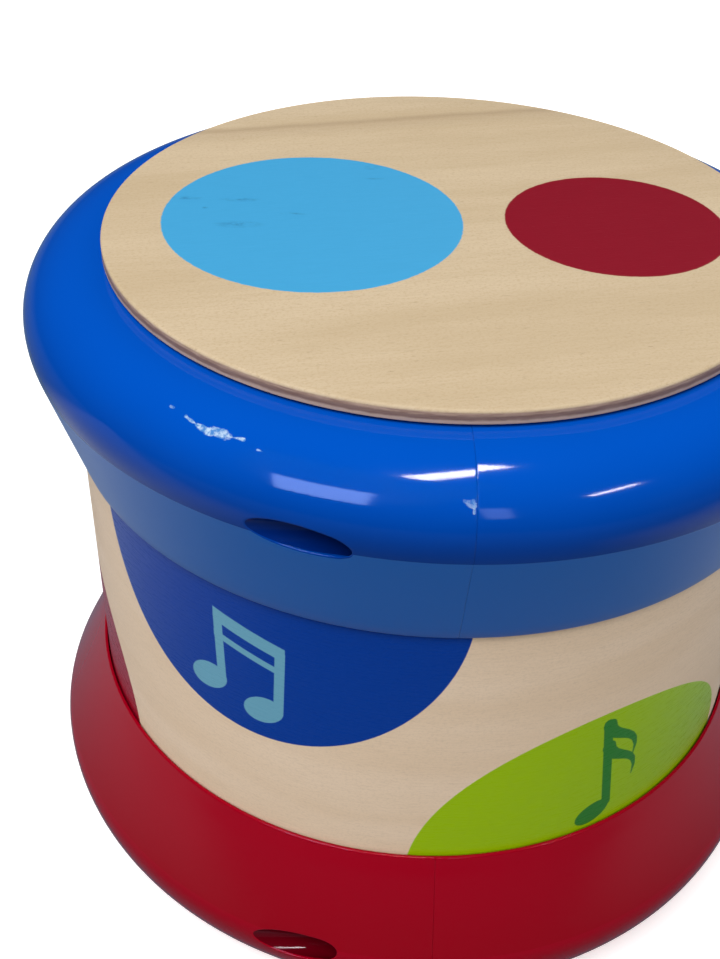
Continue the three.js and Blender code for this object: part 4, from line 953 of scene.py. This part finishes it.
def shell_wood():
    finish, place = new_finish("printed_shell_wood")
    x, y, z = place.axes()
    facing = x.math("ARCTAN2", 0 - y)
    flat = place.node("ShaderNodeCombineXYZ", {}, {"X": facing * SHELL_RADIUS, "Y": z})
    _, bands, fibres, flecks, speckle = wood_grain(flat, 0.0)
    wood = bands.band(0.3, 0.7).mix(colour(250, 225, 197), colour(243, 216, 185))
    wood = (fibres.band(0.4, 0.8) * 0.28).mix(wood, colour(214, 188, 158))
    wood = (speckle.band(0.45, 0.7) * 0.25).mix(wood, colour(212, 188, 162))
    wood = (flecks * 0.14).mix(wood, colour(168, 140, 112))
    local = place.node("ShaderNodeUVMap", {"uv_map": "print_layout"})
    note_x, note_y, _ = local.axes()
    pair = note_pair(note_x, note_y).inside(PRINT_EDGE)
    single = note_single(note_x, note_y).inside(PRINT_EDGE)
    show = fibres.band(0.35, 0.8) * 0.18
    shade = wood
    inked = None
    for angle, height, radius, ink, note_ink, is_pair in DOTS:
        away = (facing - math.radians(angle)).math("WRAP", math.pi, -math.pi) * SHELL_RADIUS
        disc = (span(away, z - height) - radius).inside(PRINT_EDGE)
        print_ink = (pair if is_pair else single).mix(show.mix(ink, darker(ink, 0.8)), note_ink)
        shade = disc.mix(shade, print_ink)
        inked = disc if inked is None else inked.most(disc)
    relief = fibres * 0.8 - flecks * 0.4 + inked * 0.2
    close_finish(place, height=relief, depth=0.1, strength=0.38, Base_Color=shade,
                 Roughness=0.42 - inked * 0.2 + fibres * 0.12, IOR=1.45, Specular_IOR_Level=0.2)
    return finish


shell.data.materials.append(shell_wood())
print("shell finish nodes:", len(shell.data.materials[0].node_tree.nodes))

# %% [markdown]
# ## Everything else
#
# The other pieces are shown as the skeleton has them. Each kind gets a finish with its own small variation: moulded
# plastic has a fine grain, plated steel has brush marks, and a circuit board has a faint weave.


# %% Other finishes
def moulded(name, base, rough, grain=2.2):
    finish, place = new_finish(name)
    fine = place.noise(grain, detail=2.0)
    slow = place.noise(0.05, detail=2.0)
    close_finish(place, height=fine, depth=0.06, strength=0.25, Base_Color=slow.mix(darker(base, 0.86), base),
                 Roughness=fine * 0.12 + rough, IOR=1.47)
    return finish


def plated(name, base, rough):
    finish, place = new_finish(name)
    brushed = place.noise(3.0, detail=3.0, stretch=(1, 1, 6))
    shade = brushed.mix(darker(base, 0.75), base)
    close_finish(place, height=brushed, depth=0.02, strength=0.2, Base_Color=shade,
                 Roughness=brushed * 0.2 + rough, Metallic=1.0)
    return finish


SLOT_FINISHES = {
    "red_plastic": moulded("moulded_red_plastic", colour(150, 4, 28), 0.3),
    "grey_plastic": moulded("moulded_grey_plastic", colour(198, 201, 205), 0.42),
    "black_plastic": moulded("moulded_black_plastic", colour(34, 35, 38), 0.42),
    "circuit_board": moulded("board_laminate", colour(30, 108, 60), 0.38, grain=1.2),
    "steel": plated("plated_steel", colour(186, 189, 194), 0.22),
    "ferrite": moulded("pressed_ferrite", colour(48, 50, 54), 0.6, grain=1.0),
    "cell": moulded("cell_sleeve", colour(58, 112, 84), 0.3),
    "wire": moulded("wire_sleeve", colour(140, 32, 32), 0.45),
}
dressed = 0
for entry in frame["record"]["subparts"]:
    node = frame["nodes"][entry["node"]]
    if entry["material_slot"] in SLOT_FINISHES:
        node.data.materials.clear()
        node.data.materials.append(SLOT_FINISHES[entry["material_slot"]])
        dressed += 1
print("dressed nodes:", dressed)

# %% [markdown]
# ## Trees for what repeats
#
# Screws and springs come in sets. A Geometry Nodes tree makes one of a set and puts it on every place it is given,
# turned the way that place faces. Sizes come in as named inputs, and the copies become one real mesh with one finish.
# The trees work in millimetres, since a Boolean on very small shapes loses faces, and the copies are scaled as they
# are placed.


# %% Trees for what repeats
def start_tree(name, sizes):
    """A new tree, and a way to read its inputs by name."""
    tree = bpy.data.node_groups.new(name, "GeometryNodeTree")
    for label, kind in [("Places", "Geometry"), *[(size, "Float") for size in sizes], ("Finish", "Material")]:
        tree.interface.new_socket(label, in_out="INPUT", socket_type=f"NodeSocket{kind}")
    tree.interface.new_socket("Set", in_out="OUTPUT", socket_type="NodeSocketGeometry")
    start = Thread(tree)
    return start, lambda label: start.node("NodeGroupInput", out=label)


def close_tree(start, given, one):
    """Puts one of the set on every place and ends the tree."""
    facing = start.node("GeometryNodeInputNamedAttribute", {"data_type": "FLOAT_VECTOR"}, {"Name": "facing"})
    turn = start.node("FunctionNodeAlignRotationToVector", {"axis": "Z"}, {"Vector": facing})
    spread = {"Points": given("Places"), "Instance": one, "Rotation": turn, "Scale": (MM, MM, MM)}
    many = start.node("GeometryNodeInstanceOnPoints", {}, spread)
    real = start.node("GeometryNodeRealizeInstances", {}, {0: many})
    finished = start.node("GeometryNodeSetMaterial", {}, {"Geometry": real, "Material": given("Finish")})
    start.node("NodeGroupOutput", {}, {0: finished})
    return start.tree


def grown(name, tree, places, sizes):
    """A steel piece from a tree. Places are (point, facing), and sizes are in millimetres."""
    mesh = bpy.data.meshes.new(name)
    mesh.from_pydata([Vector(point) * MM for point, _ in places], [], [])
    way = mesh.attributes.new("facing", "FLOAT_VECTOR", "POINT")
    way.data.foreach_set("vector", [part for _, facing in places for part in facing])
    piece = linked(name, mesh)
    modifier = piece.modifiers.new(tree.name, "NODES")
    modifier.node_group = tree
    sockets = {item.name: item.identifier for item in tree.interface.items_tree if item.in_out == "INPUT"}
    for size, value in sizes.items():
        modifier[sockets[size]] = float(value)
    modifier[sockets["Finish"]] = SLOT_FINISHES["steel"]
    settle(piece, 35)
    print(name, len(piece.data.polygons), "faces")
    return piece


print("tree helpers ready")

# %% [markdown]
# ## Screws
#
# The same kind of screw sits at the bottom of each bore, and a flat one holds the battery door. One tree makes both: a
# head with a cross cut into it, and a shank.

# %% Screws
SCREW_SIZES = ("Head Radius", "Seat Radius", "Head Height", "Dome", "Shank Radius", "Length", "Cross Width")
RING_SCREW = dict(zip(SCREW_SIZES, (2.4, 2.4, 1.1, 0.9, 1.3, 22, 0.8)))
DOOR_SCREW = dict(zip(SCREW_SIZES, (2.6, 1.2, 1.3, 0.1, 1.2, 5.6, 0.8)))
DOOR_SCREW_SEAT = (24, -29.6, 10.45)
RING_SCREW_SEAT = 13.05  # from the seam


def screw_tree():
    start, given = start_tree("screws_on_seats", SCREW_SIZES)

    def vector(x, y, z):
        return start.node("ShaderNodeCombineXYZ", {}, {"X": x, "Y": y, "Z": z})

    def moved(geometry, height, size=(1, 1, 1)):
        change = {"Geometry": geometry, "Translation": vector(0.0, 0.0, height), "Scale": size}
        return start.node("GeometryNodeTransform", {}, change)

    def boolean(operation, inputs):
        return start.node("GeometryNodeMeshBoolean", {"operation": operation, "solver": "EXACT"}, inputs)

    radius, tall, dome = given("Head Radius"), given("Head Height"), given("Dome")
    cone_sizes = {"Vertices": 40, "Radius Top": radius, "Radius Bottom": given("Seat Radius"), "Depth": tall}
    ball = start.node("GeometryNodeMeshUVSphere", {}, {"Segments": 40, "Rings": 20, "Radius": 1.0})
    cap = moved(ball, tall - dome * 0.1, vector(radius * 0.99, radius * 0.99, dome * 1.1))
    head_solid = boolean("UNION", {1: [start.node("GeometryNodeMeshCone", {}, cone_sizes), cap]})
    wide, deep = given("Cross Width"), tall + dome
    for size in (vector(radius * 1.3, wide, deep * 0.9), vector(wide, radius * 1.3, deep * 0.86)):
        slot = moved(start.node("GeometryNodeMeshCube", {}, {"Size": size}), deep)
        head_solid = boolean("DIFFERENCE", {0: head_solid, 1: slot})
    length, buried = given("Length"), tall * 0.3
    rod_sizes = {"Vertices": 24, "Radius": given("Shank Radius"), "Depth": length + buried}
    shank = moved(start.node("GeometryNodeMeshCylinder", {}, rod_sizes), (buried - length) * 0.5)
    return close_tree(start, given, boolean("UNION", {1: [head_solid, shank]}))


SCREW_TREE = screw_tree()
ring_seats = [
    ((end * RING_SCREW_SEAT, end * ring.screw_axis, bore_height(ring)), (end, 0, 0))
    for ring in (RIM, BASE) for end in (-1, 1)
]
for name, places, sizes, body, nodes in (
    ("ring_screws", ring_seats, RING_SCREW, "drum_body",
     ("rim_screw_front", "rim_screw_rear", "base_screw_front", "base_screw_rear")),
    ("door_screw_fine", [(DOOR_SCREW_SEAT, (0, 0, -1))], DOOR_SCREW, "door_screw", ("battery_door_screw",)),
):
    piece = grown(name, SCREW_TREE, places, sizes)
    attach(piece, body)
    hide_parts(*nodes)

# %% [markdown]
# ## Springs
#
# Three coil springs lift the head. A spring is a round wire that follows a spiral, and the skeleton's own boxes give
# its size and place. Its foot stays with the drum and its top goes down with the head.

# %% Springs
SPRING_NODES = ("head_spring_1", "head_spring_2", "head_spring_3")
SPRING_WIRE = 0.45
SPRING_TURNS = 4


def spring_tree():
    start, given = start_tree("springs_on_deck", ["Radius", "Wire Radius", "Climb"])
    radius = given("Radius")
    winding = {"Resolution": 32, "Rotations": SPRING_TURNS, "Start Radius": radius, "End Radius": radius,
               "Height": given("Climb")}
    path = start.node("GeometryNodeCurveSpiral", {}, winding)
    wire = start.node("GeometryNodeCurvePrimitiveCircle", {}, {"Resolution": 12, "Radius": given("Wire Radius")})
    tube = {"Curve": path, "Profile Curve": wire, "Fill Caps": True}
    return close_tree(start, given, start.node("GeometryNodeCurveToMesh", {}, tube))


spring_boxes = [node_box(node) for node in SPRING_NODES]
low, high = spring_boxes[0]
foot, top = low.z, high.z
spring_sizes = {
    "Radius": (high.x - low.x) / 2 - SPRING_WIRE, "Wire Radius": SPRING_WIRE, "Climb": top - foot - 2 * SPRING_WIRE,
}
spring_places = [
    (((low.x + high.x) / 2, (low.y + high.y) / 2, foot + SPRING_WIRE), (0, 0, 1)) for low, high in spring_boxes
]
springs = grown("head_springs", spring_tree(), spring_places, spring_sizes)
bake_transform(springs)
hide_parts(*SPRING_NODES)
